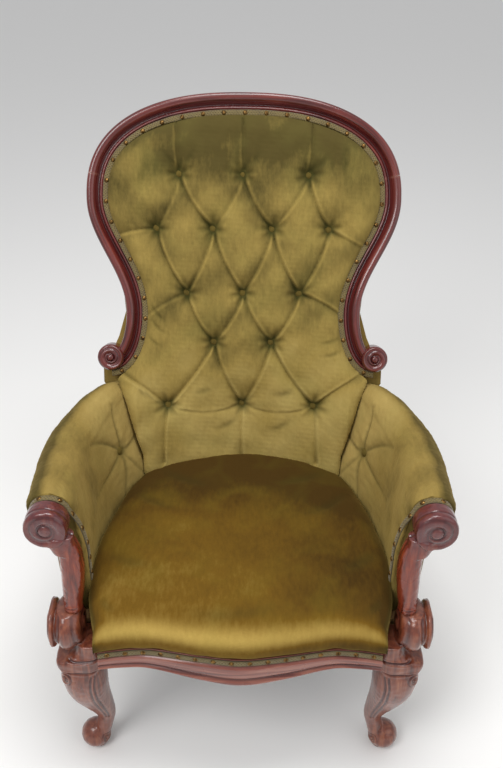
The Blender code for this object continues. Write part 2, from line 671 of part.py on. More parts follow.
def grid_holes(inside, pitch, size, low, high, reach):
    """Square holes on a grid, kept where all four corners pass the test."""
    holes = []
    count = int(reach / pitch) + 1
    y = low
    while y + size < high:
        for n in range(-count, count):
            x = (n + 0.5) * pitch - size / 2
            corners = [(x, y), (x + size, y), (x + size, y + size), (x, y + size)]
            if all(inside(a, b) for a, b in corners):
                holes.append(corners)
        y += pitch
    return holes


WEB_MARGIN = 0.012    # webbing left whole beside the rails and legs


def make_seat_webbing(shop):
    back = BACK_LEG_FRONT + 0.030
    rows = side_rail_plan(0.012, LEG_Y + BLOCK_HALF_Y + 0.006, BACK_LEG_FRONT - 0.004)
    right = [(x, front_rail_y(x) + RAIL_T + EDGE_GAP) for x in front_stations() if 0 <= x < 0.22]
    right += [(right[-1][0] + 0.01, right[-1][1]), (right[-1][0] + 0.01, rows[0][1])]
    right += rows + [(BACK_LEG_X - BACK_LEG_HALF - 0.006, rows[-1][1]), (BACK_LEG_X - BACK_LEG_HALF - 0.006, back)]
    plan = right + [(-x, y) for x, y in reversed(right[1:])]

    def inside(x, y):
        beside_leg = y < rows[0][1] + WEB_MARGIN and abs(x) > LEG_X - BLOCK_HALF_X - 2 * WEB_MARGIN
        return abs(x) < seat_side(y) - WEB_MARGIN and not beside_leg

    z = RAIL_BOTTOM - GAP - CLOTH_T / 2
    holes = grid_holes(inside, 0.086, 0.034, FRONT_RAIL_Y + 0.06, BACK_LEG_FRONT - 0.01, 0.25)
    slab(shop, "seat_webbing", [plan] + holes, CLOTH_T, flat(z), shop.hessian)
    slab(shop, "bottom_cloth", [plan], 0.001, flat(z - CLOTH_T / 2 - GAP - 0.0005), shop.cloth)


def make_hessian(shop):
    front = front_rail_y(0.155) + 0.012
    inner = LEG_X - BLOCK_HALF_X - 0.006
    rows = side_rail_plan(0.018, KNOB_BACK + 0.006, 0.045)
    right = [(inner, front), (inner, rows[0][1])]
    right += rows + [(0.182, 0.062), (0.12, 0.085)]
    plan = right + [(-x, y) for x, y in reversed(right)]
    slab(shop, "spring_hessian", [plan], CLOTH_T, flat(RAIL_TOP + GAP + CLOTH_T / 2), shop.hessian)


def make_springs(shop):
    low, high = RAIL_BOTTOM + WIRE_R, RAIL_TOP - WIRE_R
    per_turn = 8
    count = SPRING_TURNS * per_turn
    for n, (x, y) in enumerate(SPRING_PLACES, start=1):
        points = []
        for i in range(count + 1):
            t = i / count
            angle = 2 * math.pi * i / per_turn
            radius = SPRING_R * (0.78 + 0.22 * abs(2 * t - 1))
            rise = low + (high - low) * t
            points.append((x + radius * math.cos(angle), y + radius * math.sin(angle), rise))
        tube(shop, f"seat_spring_{n}", points, [WIRE_R] * len(points), 6, shop.steel)


# The buttoned back
PLEATS = ((0, 0, 1, 1), (0, 1, 1, 2), (0, 2, 1, 3), (0, 0, 1, 0), (0, 1, 1, 1), (0, 2, 1, 2), (1, 0, 2, 0),
          (1, 1, 2, 0), (1, 1, 2, 1), (1, 2, 2, 1), (1, 2, 2, 2), (1, 3, 2, 2), (2, 0, 3, 0), (2, 1, 3, 0),
          (2, 1, 3, 1), (2, 2, 3, 1), (3, 0, 4, 0), (3, 0, 4, 1), (3, 1, 4, 1), (3, 1, 4, 2))


def button_points():
    return [[(x, CREST_RISE - drop) for x in xs] for drop, xs in BUTTON_ROWS]


def pleat_lines():
    """The folds between buttons, and those that run out to the edges, as pairs of (x, rise)."""
    rows = button_points()
    lines = [(rows[a][i], rows[b][j]) for a, i, b, j in PLEATS]
    for x, rise in rows[0]:
        lines.append(((x, rise), (x * 1.05, CREST_RISE)))
    for x, rise in rows[4]:
        lines.append(((x, rise), (x * 1.02, PAD_FOOT)))
    for row, lift in ((1, 0.0), (2, -0.02), (4, 0.06)):
        for x, rise in (rows[row][0], rows[row][-1]):
            lines.append(((x, rise), (math.copysign(0.3, x), rise + lift)))
    return lines


def distance_to(line, x, rise):
    (x0, r0), (x1, r1) = line
    dx, dr = x1 - x0, r1 - r0
    t = ((x - x0) * dx + (rise - r0) * dr) / (dx * dx + dr * dr)
    t = min(max(t, 0.0), 1.0)
    return math.hypot(x - x0 - t * dx, rise - r0 - t * dr)


def pad_front(x, rise, lines, half, top):
    """Lift of the pad's buttoned face."""
    buttons = [b for row in button_points() for b in row]
    near = min(math.hypot(x - a, rise - b) for a, b in buttons)
    dimple = math.exp(-(near / 0.026) ** 2)
    fold = math.exp(-(min(distance_to(line, x, rise) for line in lines) / 0.011) ** 2)
    crown = PAD_CROWN * ease(rise, PAD_FOOT, PAD_FOOT + 0.09)
    level = button_lift(rise)
    wing = PAD_WING * min(abs(x) / 0.19, 1.1) ** 2 * (1 - ease(rise, -0.13, 0.06))
    face = level + wing + crown * (1 - max(dimple, 0.42 * fold))
    border = min(half - abs(x), (top - rise) * 1.2)
    rim = -STRIP_DROP * ease(rise, -0.06, 0.0) + (level + wing) * (1 - ease(rise, -0.06, 0.0))
    round_off = math.sqrt(1 - (1 - min(max(border, 0.0) / 0.032, 1.0)) ** 2)
    return rim + (face - rim) * round_off


def pad_rises():
    """Where the back pad has rows of points: at its outline's own points and between those far apart."""
    rises = [rise for rise, _ in pad_sides()]
    middles = [(a + b) / 2 for a, b in zip(rises, rises[1:]) if b - a > 0.03]
    return sorted(rises + middles)


def back_grid(columns):
    """Grid of (x, rise, half-width, top) from the pad's foot to its top, in rows of equally many points."""
    knots = pad_sides()
    corner = knots[-1][0]
    grid = []
    for rise in pad_rises():
        half = between(knots, rise)
        arch = ease(rise, corner - 0.06, corner)
        line = []
        for c in range(columns + 1):
            x = half * math.sin(math.pi / 2 * (2 * c / columns - 1) * 0.9) / math.sin(math.pi / 2 * 0.9)
            line.append((x, rise + (pad_top(x) - corner) * arch, half, pad_top(x)))
        grid.append(line)
    return grid


def edge_loop(columns, rows):
    """Indices around a grid's border."""
    wide = columns + 1
    loop = [c for c in range(wide)]
    loop += [r * wide + columns for r in range(1, rows + 1)]
    loop += [rows * wide + c for c in range(columns - 1, -1, -1)]
    loop += [r * wide for r in range(rows - 1, 0, -1)]
    return loop


def make_back_pad(shop):
    columns = 24
    lines = pleat_lines()
    grid = back_grid(columns)
    rows = len(grid) - 1
    place = back_place()
    verts, faces = [], []
    for line in grid:
        for x, rise, half, top in line:
            verts.append(place @ Vector((x, rise, pad_front(x, rise, lines, half, top))))
    wide = columns + 1
    for r in range(rows):
        for c in range(columns):
            a = r * wide + c
            faces.append([a, a + 1, a + 1 + wide, a + wide])
    loop = edge_loop(columns, rows)
    flat_points = [p for line in grid for p in line]
    start = len(verts)
    for i in loop:
        x, rise = flat_points[i][:2]
        verts.append(place @ Vector((x, rise, rear_lift(rise))))
    count = len(loop)
    for n in range(count):
        m = (n + 1) % count
        faces.append([loop[n], loop[m], start + m, start + n])
    faces.append([start + n for n in range(count)])
    pad = mesh_piece(shop, "back_pad", verts, faces, shop.velvet)
    for row in button_points():
        for x, rise in row:
            pad = joined(shop, pad, button_pocket(shop, x, rise), "DIFFERENCE", shop.velvet)


def button_height(x, rise):
    """Lift of a button's seat in the pad."""
    wing = PAD_WING * min(abs(x) / 0.19, 1.1) ** 2 * (1 - ease(rise, -0.13, 0.06))
    return button_lift(rise) + wing - 0.001


def button_pocket(shop, x, rise):
    r = BUTTON_R + GAP
    profile = ((0.0, 0.06), (r, 0.06), (r, 0.0), (0.0, 0.0))
    place = back_place(button_height(x, rise)) @ Matrix.Translation((x, rise, 0))
    return turned(shop, "pocket", profile, place, shop.velvet, steps=10)


def button_profile():
    r, h = BUTTON_R, BUTTON_H
    return ((0.0, h), (r * 0.62, h * 0.86), (r, h * 0.35), (r * 0.96, 0.0), (0.0, 0.0))


def make_back_buttons(shop):
    number = 0
    for row in button_points():
        for x, rise in row:
            number += 1
            place = back_place(button_height(x, rise) + GAP) @ Matrix.Translation((x, rise, 0))
            turned(shop, f"back_button_{number:02d}", button_profile(), place, shop.velvet, steps=10)


def rear_sheet(shop, name, lift, thickness, holes, mat):
    """A thin sheet behind the pad, parallel to its rear, cut to the same outline."""
    right = pad_outline(-0.0002)
    tilt = math.atan(PAD_REAR_SLOPE)
    zero = UPRIGHT_TOP
    place = back_place() @ Matrix.Translation((0, zero, lift)) @ Matrix.Rotation(tilt, 4, "X")
    turn = [(x, (rise - zero) / math.cos(tilt)) for x, rise in right]
    plan = turn + [(-x, y) for x, y in reversed(turn[1:])]
    knots = pad_sides()

    def inside(x, y):
        rise = zero + y * math.cos(tilt)
        return abs(x) < between(knots, rise) - 0.02 and rise < knots[-1][0] - 0.01

    cuts = grid_holes(inside, 0.098, 0.040, turn[-1][1] + 0.03, 0.10, 0.28) if holes else []
    slab(shop, name, [plan] + cuts, thickness, place, mat)


def make_back_inside(shop):
    step = (CLOTH_T / 2 + GAP) / math.cos(math.atan(PAD_REAR_SLOPE))
    rear_sheet(shop, "back_hessian", PAD_REAR_LIFT - step, CLOTH_T, False, shop.hessian)
    rear_sheet(shop, "back_webbing", PAD_REAR_LIFT - step - CLOTH_T - GAP, CLOTH_T * 0.8, True, shop.hessian)


def cover_rows():
    """Half-width and (y, z) of the outside back's inner face, from the seat rail to the crest."""
    rows = []
    for x, _, (y, z) in back_leg_shape()[3:]:
        rows.append((x + BACK_LEG_HALF, y + EDGE_GAP, z))
    centre = sorted((rise, x) for x, rise in horseshoe() if rise > WAIST_RISE)
    top = CREST_RISE - COVER_DROP
    for share in (0.17, 0.37, 0.56, 0.74, 0.86, 0.94, 1.0):
        rise = UPRIGHT_TOP + (top - UPRIGHT_TOP) * share
        spot = back_place() @ Vector((0, rise, -FRAME_T - GAP))
        rows.append((between(centre, rise), spot.y, spot.z))
    return rows


def make_outside_back(shop):
    columns = 4
    verts, faces = [], []
    for half, y, z in cover_rows():
        verts += [(half * (2 * c / columns - 1), y, z) for c in range(columns + 1)]
    for r in range(len(cover_rows()) - 1):
        for c in range(columns):
            a = r * (columns + 1) + c
            faces.append([a, a + 1, a + columns + 2, a + columns + 1])
    mesh = bpy.data.meshes.new("outside_back_cover")
    mesh.from_pydata(verts, [], faces)
    obj = shop.link(bpy.data.objects.new("outside_back_cover", mesh), shop.velvet)
    thick = obj.modifiers.new("cloth", "SOLIDIFY")
    thick.thickness = COVER_T
    thick.offset = -1.0
    baked(shop, obj, shop.velvet)


# Arms
def arm_section(y):
    """Outline of the arm pad at one place, (x, z), from the inner foot over the roll to the outer foot."""
    foot, base = seat_side(y) + GAP, RAIL_TOP + CLOTH_T + 2 * GAP
    x, z, r = arm_roll(y)
    lean = x - 0.985 * r
    points = []
    for i in range(5):
        t = i / 5
        points.append((foot + (lean - foot) * t ** 1.1 - 0.004 * math.sin(math.pi * t),
                       base + (z + 0.17 * r - base) * t))
    for degrees in range(170, -60, -25):
        angle = math.radians(degrees)
        points.append((x + r * math.cos(angle), z + r * math.sin(angle)))
    slot = x - 0.002
    wall = ARM_RAIL_R + EDGE_GAP
    roof = z - 0.0068 + wall
    points += [(slot + wall, z - 0.88 * r), (slot + wall, roof), (slot - wall, roof), (slot - wall, z - 0.9 * r)]
    points += [(foot + 0.024, base + 0.045), (foot + 0.024, base)]
    return points


def arm_blank(shop, name):
    rings = [[(x, y, z) for x, z in arm_section(y)] for y in arm_stations()]
    return loft(shop, name, rings, shop.velvet)


def pad_prism(shop):
    """The back pad's outline grown a little, to trim the arms with."""
    right = [(x, rise) for x, rise in pad_outline(0.0006) if rise < 0.03]
    right[-1] = (right[-1][0], PAD_FOOT - 0.02)
    outline = right + [(-x, rise) for x, rise in reversed(right)]
    return slab(shop, "trim", [outline], 0.11, back_place(-0.045), shop.velvet)


ARM_BUTTON_Y, ARM_BUTTON_Z = 0.028, 0.462


def arm_button_place(sink):
    """Frame of the button on the inner side of the right arm, Z pointing into the seat."""
    low, high = arm_section(ARM_BUTTON_Y)[2], arm_section(ARM_BUTTON_Y)[4]
    t = (ARM_BUTTON_Z - low[1]) / (high[1] - low[1])
    x = low[0] + (high[0] - low[0]) * t
    ahead = arm_section(ARM_BUTTON_Y - 0.03)[3][0] - arm_section(ARM_BUTTON_Y + 0.03)[3][0]
    along = Vector((-ahead, 0.06, 0.0)).normalized()
    up = Vector((high[0] - low[0], 0.0, high[1] - low[1])).normalized()
    out = along.cross(up).normalized()
    if out.x > 0:
        out.negate()
    place = out.to_track_quat("Z", "Y").to_matrix().to_4x4()
    place.translation = Vector((x, ARM_BUTTON_Y, ARM_BUTTON_Z)) - out * sink
    return place


def make_arm_pads(shop):
    pad = arm_blank(shop, "inside_arm_pad_right")
    pad = joined(shop, pad, pad_prism(shop), "DIFFERENCE", shop.velvet)
    sink = 0.010
    r = BUTTON_R + GAP
    profile = ((0.0, 0.05), (r + 0.012, 0.05), (r + 0.010, 0.012), (r + 0.002, 0.003), (r, 0.0), (0.0, 0.0))
    dimple = turned(shop, "dimple", profile, arm_button_place(sink), shop.velvet, steps=10)
    pad = joined(shop, pad, dimple, "DIFFERENCE", shop.velvet)
    mirrored(shop, pad, "inside_arm_pad_left", shop.velvet)
    button = turned(shop, "arm_button_right", button_profile(), arm_button_place(sink - GAP), shop.velvet, steps=10)
    mirrored(shop, button, "arm_button_left", shop.velvet)


def make_outside_arms(shop):
    verts, faces = [], []
    columns, rows = len(arm_stations()) - 1, 2
    for y in arm_stations():
        x, z, _ = arm_roll(y)
        top = Vector((x - 0.002, y, z - 0.0068 - ARM_RAIL_R - EDGE_GAP))
        low = Vector((seat_side(y) + RAIL_T + EDGE_GAP + COVER_T / 2, y, RAIL_BOTTOM))
        verts += [low.lerp(top, r / rows) for r in range(rows + 1)]
    for c in range(columns):
        for r in range(rows):
            a = c * (rows + 1) + r
            faces.append([a, a + 1, a + rows + 2, a + rows + 1])
    mesh = bpy.data.meshes.new("outside_arm_cover_right")
    mesh.from_pydata([tuple(v) for v in verts], [], faces)
    obj = shop.link(bpy.data.objects.new("outside_arm_cover_right", mesh), shop.velvet)
    thick = obj.modifiers.new("cloth", "SOLIDIFY")
    thick.thickness = COVER_T
    thick.offset = 0.0
    cover = baked(shop, obj, shop.velvet)
    mirrored(shop, cover, "outside_arm_cover_left", shop.velvet)


# Gimp and studs
def with_studs(shop, ribbon, places):
    """The ribbon with a domed stud rising from it at each place, along that place's Z."""
    sides = 6
    verts, faces = [], []
    for place in places:
        start = len(verts)
        for radius, height in ((STUD_R, -0.0012), (STUD_R, 0.0), (STUD_R * 0.6, STUD_H)):
            for i in range(sides):
                angle = 2 * math.pi * (i + 0.37) / sides
                verts.append(place @ Vector((radius * math.cos(angle), radius * math.sin(angle), height)))
        faces += [[start + i for i in range(sides)], [start + 2 * sides + i for i in range(sides)]]
        for ring in (start, start + sides):
            for i in range(sides):
                j = (i + 1) % sides
                faces.append([ring + i, ring + j, ring + j + sides, ring + i + sides])
    studs = mesh_piece(shop, "studs", verts, faces, shop.gimp)
    return joined(shop, ribbon, studs, "UNION", shop.gimp)


def make_back_gimp(shop):
    path = shifted(full_horseshoe(), MOULD_W / 2 + STRIP_W / 2)
    sides = [shifted(path, -GIMP_W / 2), shifted(path, GIMP_W / 2)]
    under, top = back_place(GAP - STRIP_DROP), back_place(GAP - STRIP_DROP + GIMP_T)
    rings = []
    for a, b in zip(*sides):
        rings.append([place @ Vector((x, rise, 0)) for place, (x, rise) in ((under, a), (top, a), (top, b), (under, b))])
    ribbon = loft(shop, "back_gimp", rings, shop.gimp)
    with_studs(shop, ribbon, [top @ Matrix.Translation((x, rise, 0)) for x, rise in marks(path, BACK_STUD_PITCH)])


def knob_edge():
    """Line around the arm's front, (x, z), over the knob from outside and down the post's inner side."""
    r = KNOB_R - 0.004 + GAP + GIMP_T / 2
    path = []
    for degrees in range(-25, 176, 12):
        angle = math.radians(degrees)
        path.append((KNOB_X + r * math.cos(angle), KNOB_Z + r * math.sin(angle)))
    inner = seat_side(KNOB_BACK) - 0.0085
    path += [(inner + 0.010, 0.548), (inner + 0.004, 0.525), (inner, 0.495), (inner, 0.46), (inner, 0.425)]
    return path


def make_arm_gimps(shop):
    path = knob_edge()
    half = GIMP_T / 2
    y = KNOB_BACK - 0.0005
    profile = ((-half, -GIMP_W / 2), (-half, GIMP_W / 2), (half, GIMP_W / 2), (half, -GIMP_W / 2))
    place = Matrix.Translation((0, y - GIMP_W / 2, 0)) @ Matrix.Rotation(math.pi / 2, 4, "X")
    ribbon = swept(shop, "arm_gimp_right", profile, path, place, shop.gimp)
    places = []
    outline = marks(path, ARM_STUD_PITCH)
    finer = marks(path, ARM_STUD_PITCH / 8)
    for x, z in outline:
        near = sorted(finer, key=lambda p: math.hypot(p[0] - x, p[1] - z))[:3]
        a, b = min(near, key=finer.index), max(near, key=finer.index)
        along = Vector((b[0] - a[0], 0.0, b[1] - a[1])).normalized()
        out = Vector((along.z, 0.0, -along.x))
        if out.dot(Vector((x - 0.2875, 0.0, z - 0.50))) < 0 and z > 0.54:
            out.negate()
        if z <= 0.54:
            out = Vector((-1.0, 0.0, 0.0))
        spot = out.to_track_quat("Z", "Y").to_matrix().to_4x4()
        spot.translation = Vector((x, y - GIMP_W / 2, z)) + out * half
        places.append(spot)
    ribbon = with_studs(shop, ribbon, places)
    mirrored(shop, ribbon, "arm_gimp_left", shop.gimp)


def make_front_gimp(shop):
    path = [(x, front_rail_y(x) - EDGE_GAP - GIMP_T / 2) for x in front_stations()]
    half = GIMP_W / 2 - 0.0005
    profile = ((-GIMP_T / 2, -half), (-GIMP_T / 2, half), (GIMP_T / 2, half), (GIMP_T / 2, -half))
    z = RAIL_TOP - GIMP_W / 2 - 0.0005
    ribbon = swept(shop, "front_gimp", profile, path, flat(z), shop.gimp)
    forward = Matrix.Rotation(math.pi / 2, 4, "X")
    places = [Matrix.Translation((x, y - GIMP_T / 2, z)) @ forward for x, y in marks(path, FRONT_STUD_PITCH)]
    with_studs(shop, ribbon, places)


def centre_on_floor(shop):
    """Puts the origin under the middle of the chair's box."""
    bpy.context.view_layer.update()
    ys = [(obj.matrix_world @ Vector(c)).y for obj in shop.parts.objects for c in obj.bound_box]
    middle = (min(ys) + max(ys)) / 2
    for obj in shop.parts.objects:
        obj.location.y -= middle
    return middle


def main():
    clear_scene()
    shop = Shop()
    make_crest(shop)
    make_side_rails(shop)
    make_front_legs(shop)
    make_arm_posts(shop)
    make_front_rail(shop)
    make_back_legs(shop)
    make_seat_frame(shop)
    make_corner_blocks(shop)
    make_arm_rails(shop)
    make_lower_back_rail(shop)
    make_seat_cushion(shop)
    make_seat_webbing(shop)
    make_hessian(shop)
    make_springs(shop)
    make_back_pad(shop)
    make_back_buttons(shop)
    make_back_inside(shop)
    make_outside_back(shop)
    make_arm_pads(shop)
    make_outside_arms(shop)
    make_back_gimp(shop)
    make_arm_gimps(shop)
    make_front_gimp(shop)
    centre_on_floor(shop)


main()
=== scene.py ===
"""The looks of a sagging old spoon-back armchair: carved mahogany, worn olive velvet, gimp and studs."""

import math

import bmesh
import bpy
import numpy as np
from mathutils import Matrix, Vector


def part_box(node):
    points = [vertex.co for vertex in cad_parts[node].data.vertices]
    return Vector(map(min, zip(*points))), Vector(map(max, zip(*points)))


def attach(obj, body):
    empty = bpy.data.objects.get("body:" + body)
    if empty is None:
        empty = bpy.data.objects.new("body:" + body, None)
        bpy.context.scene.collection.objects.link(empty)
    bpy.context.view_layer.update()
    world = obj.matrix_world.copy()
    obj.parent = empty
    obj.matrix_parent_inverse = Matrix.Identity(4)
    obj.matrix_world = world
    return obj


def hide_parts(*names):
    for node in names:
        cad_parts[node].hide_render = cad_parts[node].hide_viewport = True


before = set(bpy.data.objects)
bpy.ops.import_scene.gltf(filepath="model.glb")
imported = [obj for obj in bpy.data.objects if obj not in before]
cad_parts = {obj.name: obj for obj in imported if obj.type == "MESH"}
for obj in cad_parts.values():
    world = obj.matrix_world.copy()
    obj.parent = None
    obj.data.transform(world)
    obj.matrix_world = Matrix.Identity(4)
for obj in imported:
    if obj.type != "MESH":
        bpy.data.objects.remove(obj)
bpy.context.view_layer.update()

# The back, in metres. Its points are (x, rise, lift): across, up the rake, and forward of the frame's face
RAKE = math.radians(23.2)
SCROLL_X, SCROLL_Y, SCROLL_Z, SCROLL_R = 0.2625, 0.160, 0.594, 0.026
CREST_RISE, BACK_HALF, WIDE_RISE = 0.509, 0.305, 0.31
WAIST_HALF, WAIST_RISE, JOINT_RISE = 0.231, 0.09, 0.355
MOULD_W, STRIP_W, STRIP_DROP, FRAME_T = 0.031, 0.013, 0.0078, 0.032
CURL_DROP = 0.0105
PAD_FOOT, PAD_CROWN, PAD_ROLL = -0.235, 0.025, 0.026
PLEAT_SHARP, PLEAT_SOFT, DIMPLE_R = 0.005, 0.020, 0.018
# The buttons as the rise of each row and how far across they stand, and how deep they are drawn at each rise
BUTTON_ROWS = ((0.357, (-0.126, -0.003, 0.124)), (0.254, (-0.170, -0.060, 0.055, 0.166)),
               (0.129, (-0.112, -0.001, 0.110)), (0.031, (-0.058, 0.056)), (-0.098, (-0.151, -0.001, 0.144)))
BUTTON_LIFTS = ((-0.25, -0.052), (-0.098, -0.040), (0.03, -0.022), (0.129, -0.016), (0.25, -0.011),
                (0.357, -0.008))
# Where the pad meets the arms, as (x, rise)
CREASE = ((0.249, -0.042), (0.2305, -0.0864), (0.2140, -0.145), (0.1990, -0.195), (0.196, -0.26))
# The seat, arms and legs, in the chair's own frame before it is centred
RAIL_TOP, RAIL_BOTTOM, RAIL_T = 0.342, 0.292, 0.030
FRONT_RAIL_Y, FRONT_RAIL_END, FRONT_RAIL_BOTTOM = -0.372, 0.2347, 0.283
SEAT_BACK_Y, SEAT_FOOT, SEAT_EDGE_ROUND, SEAT_SAG = 0.101, 0.3445, 0.042, 0.007
KNOB_X, KNOB_Z, KNOB_R, KNOB_FRONT, KNOB_BACK = 0.303, 0.567, 0.0345, -0.320, -0.265
ARM_BACK, ARM_BUTTON_Y, ARM_BUTTON_Z = 0.1675, 0.028, 0.462
ARM_RAIL_IN, ARM_RAIL_HALF = 0.002, 0.0133      # the wooden rail in the arm: how far in, and half its width
COVER_HALF, BOTTOM_CLOTH_T = 0.0013, 0.0009     # half the outside covers' thickness, and the black cloth's
LEG_X, LEG_Y = 0.273, -0.3185
FOOT_X, FOOT_Y, FOOT_R = 0.274, -0.283, 0.0275
VOLUTE_X, VOLUTE_Y, VOLUTE_Z, VOLUTE_R, VOLUTE_W = 0.2885, -0.3105, 0.362, 0.045, 0.053
LEG_TOP, POST_FOOT = 0.3983, 0.3987
CLOTH_FRONT, CLOTH_BACK = -0.345, 0.205
GIMP_W, GIMP_T, STUD_R, STUD_H = 0.0115, 0.0025, 0.0046, 0.0030
BUTTON_R, BUTTON_H = 0.0092, 0.0070
BACK_STUD_PITCH, ARM_STUD_PITCH, SEAT_STUD_PITCH = 0.040, 0.034, 0.0295
GIMP_STEP = 0.0009         # points along the gimp, close enough to show its plait
BACK_FOOT_END = 0.420      # how far back the rear feet reach before the chair is centred
SHIFT = Vector((0.0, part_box("back_leg_left")[1].y - BACK_FOOT_END, 0.0))
# The picture's camera, worked out from the frame and the seat, and the room's lamps
CAMERA_AT, CAMERA_LENS, CAMERA_SENSOR = Vector((0.0, -1.287, 1.473)), 39.84, 36.0
CAMERA_PITCH, CAMERA_YAW, CAMERA_ROLL = math.radians(33.0), math.radians(0.71), math.radians(-0.87)
# Each lamp as its name, watts, size, place and what it is aimed at
LAMPS = (("key", 36.0, 1.2, (-1.2, -1.7, 2.6), (0, 0, 0.5)),
         ("fill", 9.0, 2.0, (1.9, -1.5, 1.7), (0, 0, 0.5)),
         ("top", 34.0, 1.1, (0.1, -0.3, 2.9), (0, 0, 0.4)))


# Curves
def ease(value, low, high):
    """0 below low, 1 above high, smooth between."""
    t = np.clip((np.asarray(value, float) - low) / (high - low), 0, 1)
    return t * t * (3 - 2 * t)


def through(knots, value):
    """A smooth curve through (place, value) knots, read at any places."""
    xs, ys = np.array(knots, float).T
    slope = np.concatenate([[(ys[1] - ys[0]) / (xs[1] - xs[0])], (ys[2:] - ys[:-2]) / (xs[2:] - xs[:-2]),
                            [(ys[-1] - ys[-2]) / (xs[-1] - xs[-2])]])
    value = np.clip(value, xs[0], xs[-1])
    i = np.clip(np.searchsorted(xs, value, side="right") - 1, 0, len(xs) - 2)
    h = xs[i + 1] - xs[i]
    t = (value - xs[i]) / h
    return ((2 * t ** 3 - 3 * t ** 2 + 1) * ys[i] + (t ** 3 - 2 * t ** 2 + t) * h * slope[i]
            + (3 * t ** 2 - 2 * t ** 3) * ys[i + 1] + (t ** 3 - t ** 2) * h * slope[i + 1])


def rounded(points, per):
    """A smooth chain through a few points, with so many steps between each two."""
    points = np.array(points, float)
    at = np.linspace(0, len(points) - 1, (len(points) - 1) * per + 1)
    columns = [through([(i, p[k]) for i, p in enumerate(points)], at) for k in range(points.shape[1])]
    return np.stack(columns, 1)


def lengths(path):
    """How far along a path each of its points is."""
    return np.concatenate([[0.0], np.cumsum(np.linalg.norm(np.diff(path, axis=0), axis=1))])


def evenly(path, step):
    """The same path with points at an even step."""
    far = lengths(path)
    at = np.linspace(0, far[-1], max(2, int(round(far[-1] / step)) + 1))
    return np.stack([np.interp(at, far, path[:, k]) for k in range(path.shape[1])], 1)


def sideways(path):
    """Unit vectors to a flat path's own right."""
    step = np.gradient(path, axis=0)
    step /= np.linalg.norm(step, axis=1, keepdims=True)
    return np.stack([step[:, 1], -step[:, 0]], 1)


def crowded(count, share):
    """Numbers from -1 to 1 that stand closer towards both ends."""
    return np.sin(np.linspace(-1, 1, count) * math.pi / 2 * share) / math.sin(math.pi / 2 * share)


def uneven(points, size, seed, waves=16):
    """A smooth uneven field of about -1 to 1, with bumps of about the given size."""
    rng = np.random.default_rng(seed)
    total = np.zeros(points.shape[:-1])
    for _ in range(waves):
        way = rng.normal(size=points.shape[-1])
        way *= 2 * math.pi * rng.uniform(0.5, 1.5) / size / np.linalg.norm(way)
        total += np.sin(points @ way + rng.uniform(0, 2 * math.pi))
    return total / math.sqrt(2 * waves)


def on_back(x, rise, lift):
    """Points of the raked back, from across, up the rake and forward of the frame's face."""
    x, rise, lift = np.broadcast_arrays(x, rise, lift)
    return np.stack([x, SCROLL_Y + rise * math.sin(RAKE) - lift * math.cos(RAKE),
                     SCROLL_Z + rise * math.cos(RAKE) + lift * math.sin(RAKE)], -1)


def horseshoe():
    """Centre line of the right half of the back's moulding, as (x, rise), from the top to the scroll."""
    turn = np.linspace(math.pi / 2, 0, 120)
    power = 2 / 2.4
    arch = np.stack([BACK_HALF * np.cos(turn).clip(0) ** power,
                     WIDE_RISE + (CREST_RISE - WIDE_RISE) * np.sin(turn) ** power], 1)
    t = np.linspace(0, 1, 60)[1:]
    waist = np.stack([WAIST_HALF + (BACK_HALF - WAIST_HALF) * (1 + np.cos(math.pi * t)) / 2,
                      WIDE_RISE + (WAIST_RISE - WIDE_RISE) * t], 1)
    outer = evenly(np.concatenate([arch, waist]), 0.003)
    line = outer + sideways(outer) * MOULD_W / 2
    line[0] = (0.0, CREST_RISE - MOULD_W / 2)
    wide, tall = SCROLL_X - line[-1, 0], line[-1, 1] + CURL_DROP
    turn = np.linspace(0, math.pi / 2, 40)[1:]
    curl = np.stack([SCROLL_X - wide * np.cos(turn), line[-1, 1] - tall * np.sin(turn)], 1)
    return evenly(np.concatenate([line, curl]), 0.0015)


def full_horseshoe():
    """Centre line of the back's moulding from the left scroll over the top to the right one."""
    half = horseshoe()
    return np.concatenate([half[:0:-1] * (-1, 1), half])


def seat_side(y):
    """Half-width of the seat between the arms."""
    return through(((-0.345, 0.240), (-0.30, 0.254), (-0.25, 0.2595), (-0.20, 0.2605), (-0.12, 0.252),
                    (-0.04, 0.2345), (0.0, 0.2175), (0.052, 0.190), (0.165, 0.197)), y)


def front_rail_y(x):
    """Serpentine of the seat's front in plan."""
    wave = ((-0.07, 0.008), (0.0, 0.0), (0.07, 0.008), (0.155, 0.022), (0.20, 0.019), (0.24, 0.012))
    return FRONT_RAIL_Y + through(wave, np.abs(x))


def front_rail_bottom(x):
    """Lower edge of the front rail, which dips in the middle."""
    rise = ((-0.06, 0.004), (0.0, 0.0), (0.06, 0.004), (0.155, 0.017), (0.235, 0.024))
    return FRONT_RAIL_BOTTOM + through(rise, np.abs(x))


def arm_roll(y):
    """Centre x, centre z and radius of the arm's rolled top."""
    x = through(((-0.265, 0.303), (-0.20, 0.309), (-0.12, 0.314), (-0.05, 0.311), (0.03, 0.296),
                 (0.10, 0.274), (0.135, 0.263), (0.168, 0.256)), y)
    z = through(((-0.265, 0.567), (-0.20, 0.555), (-0.12, 0.540), (-0.05, 0.533), (0.03, 0.528),
                 (0.10, 0.525), (0.135, 0.517), (0.168, 0.505)), y)
    radius = through(((-0.265, 0.038), (-0.12, 0.040), (0.03, 0.038), (0.10, 0.034), (0.168, 0.028)), y)
    return x, z, radius


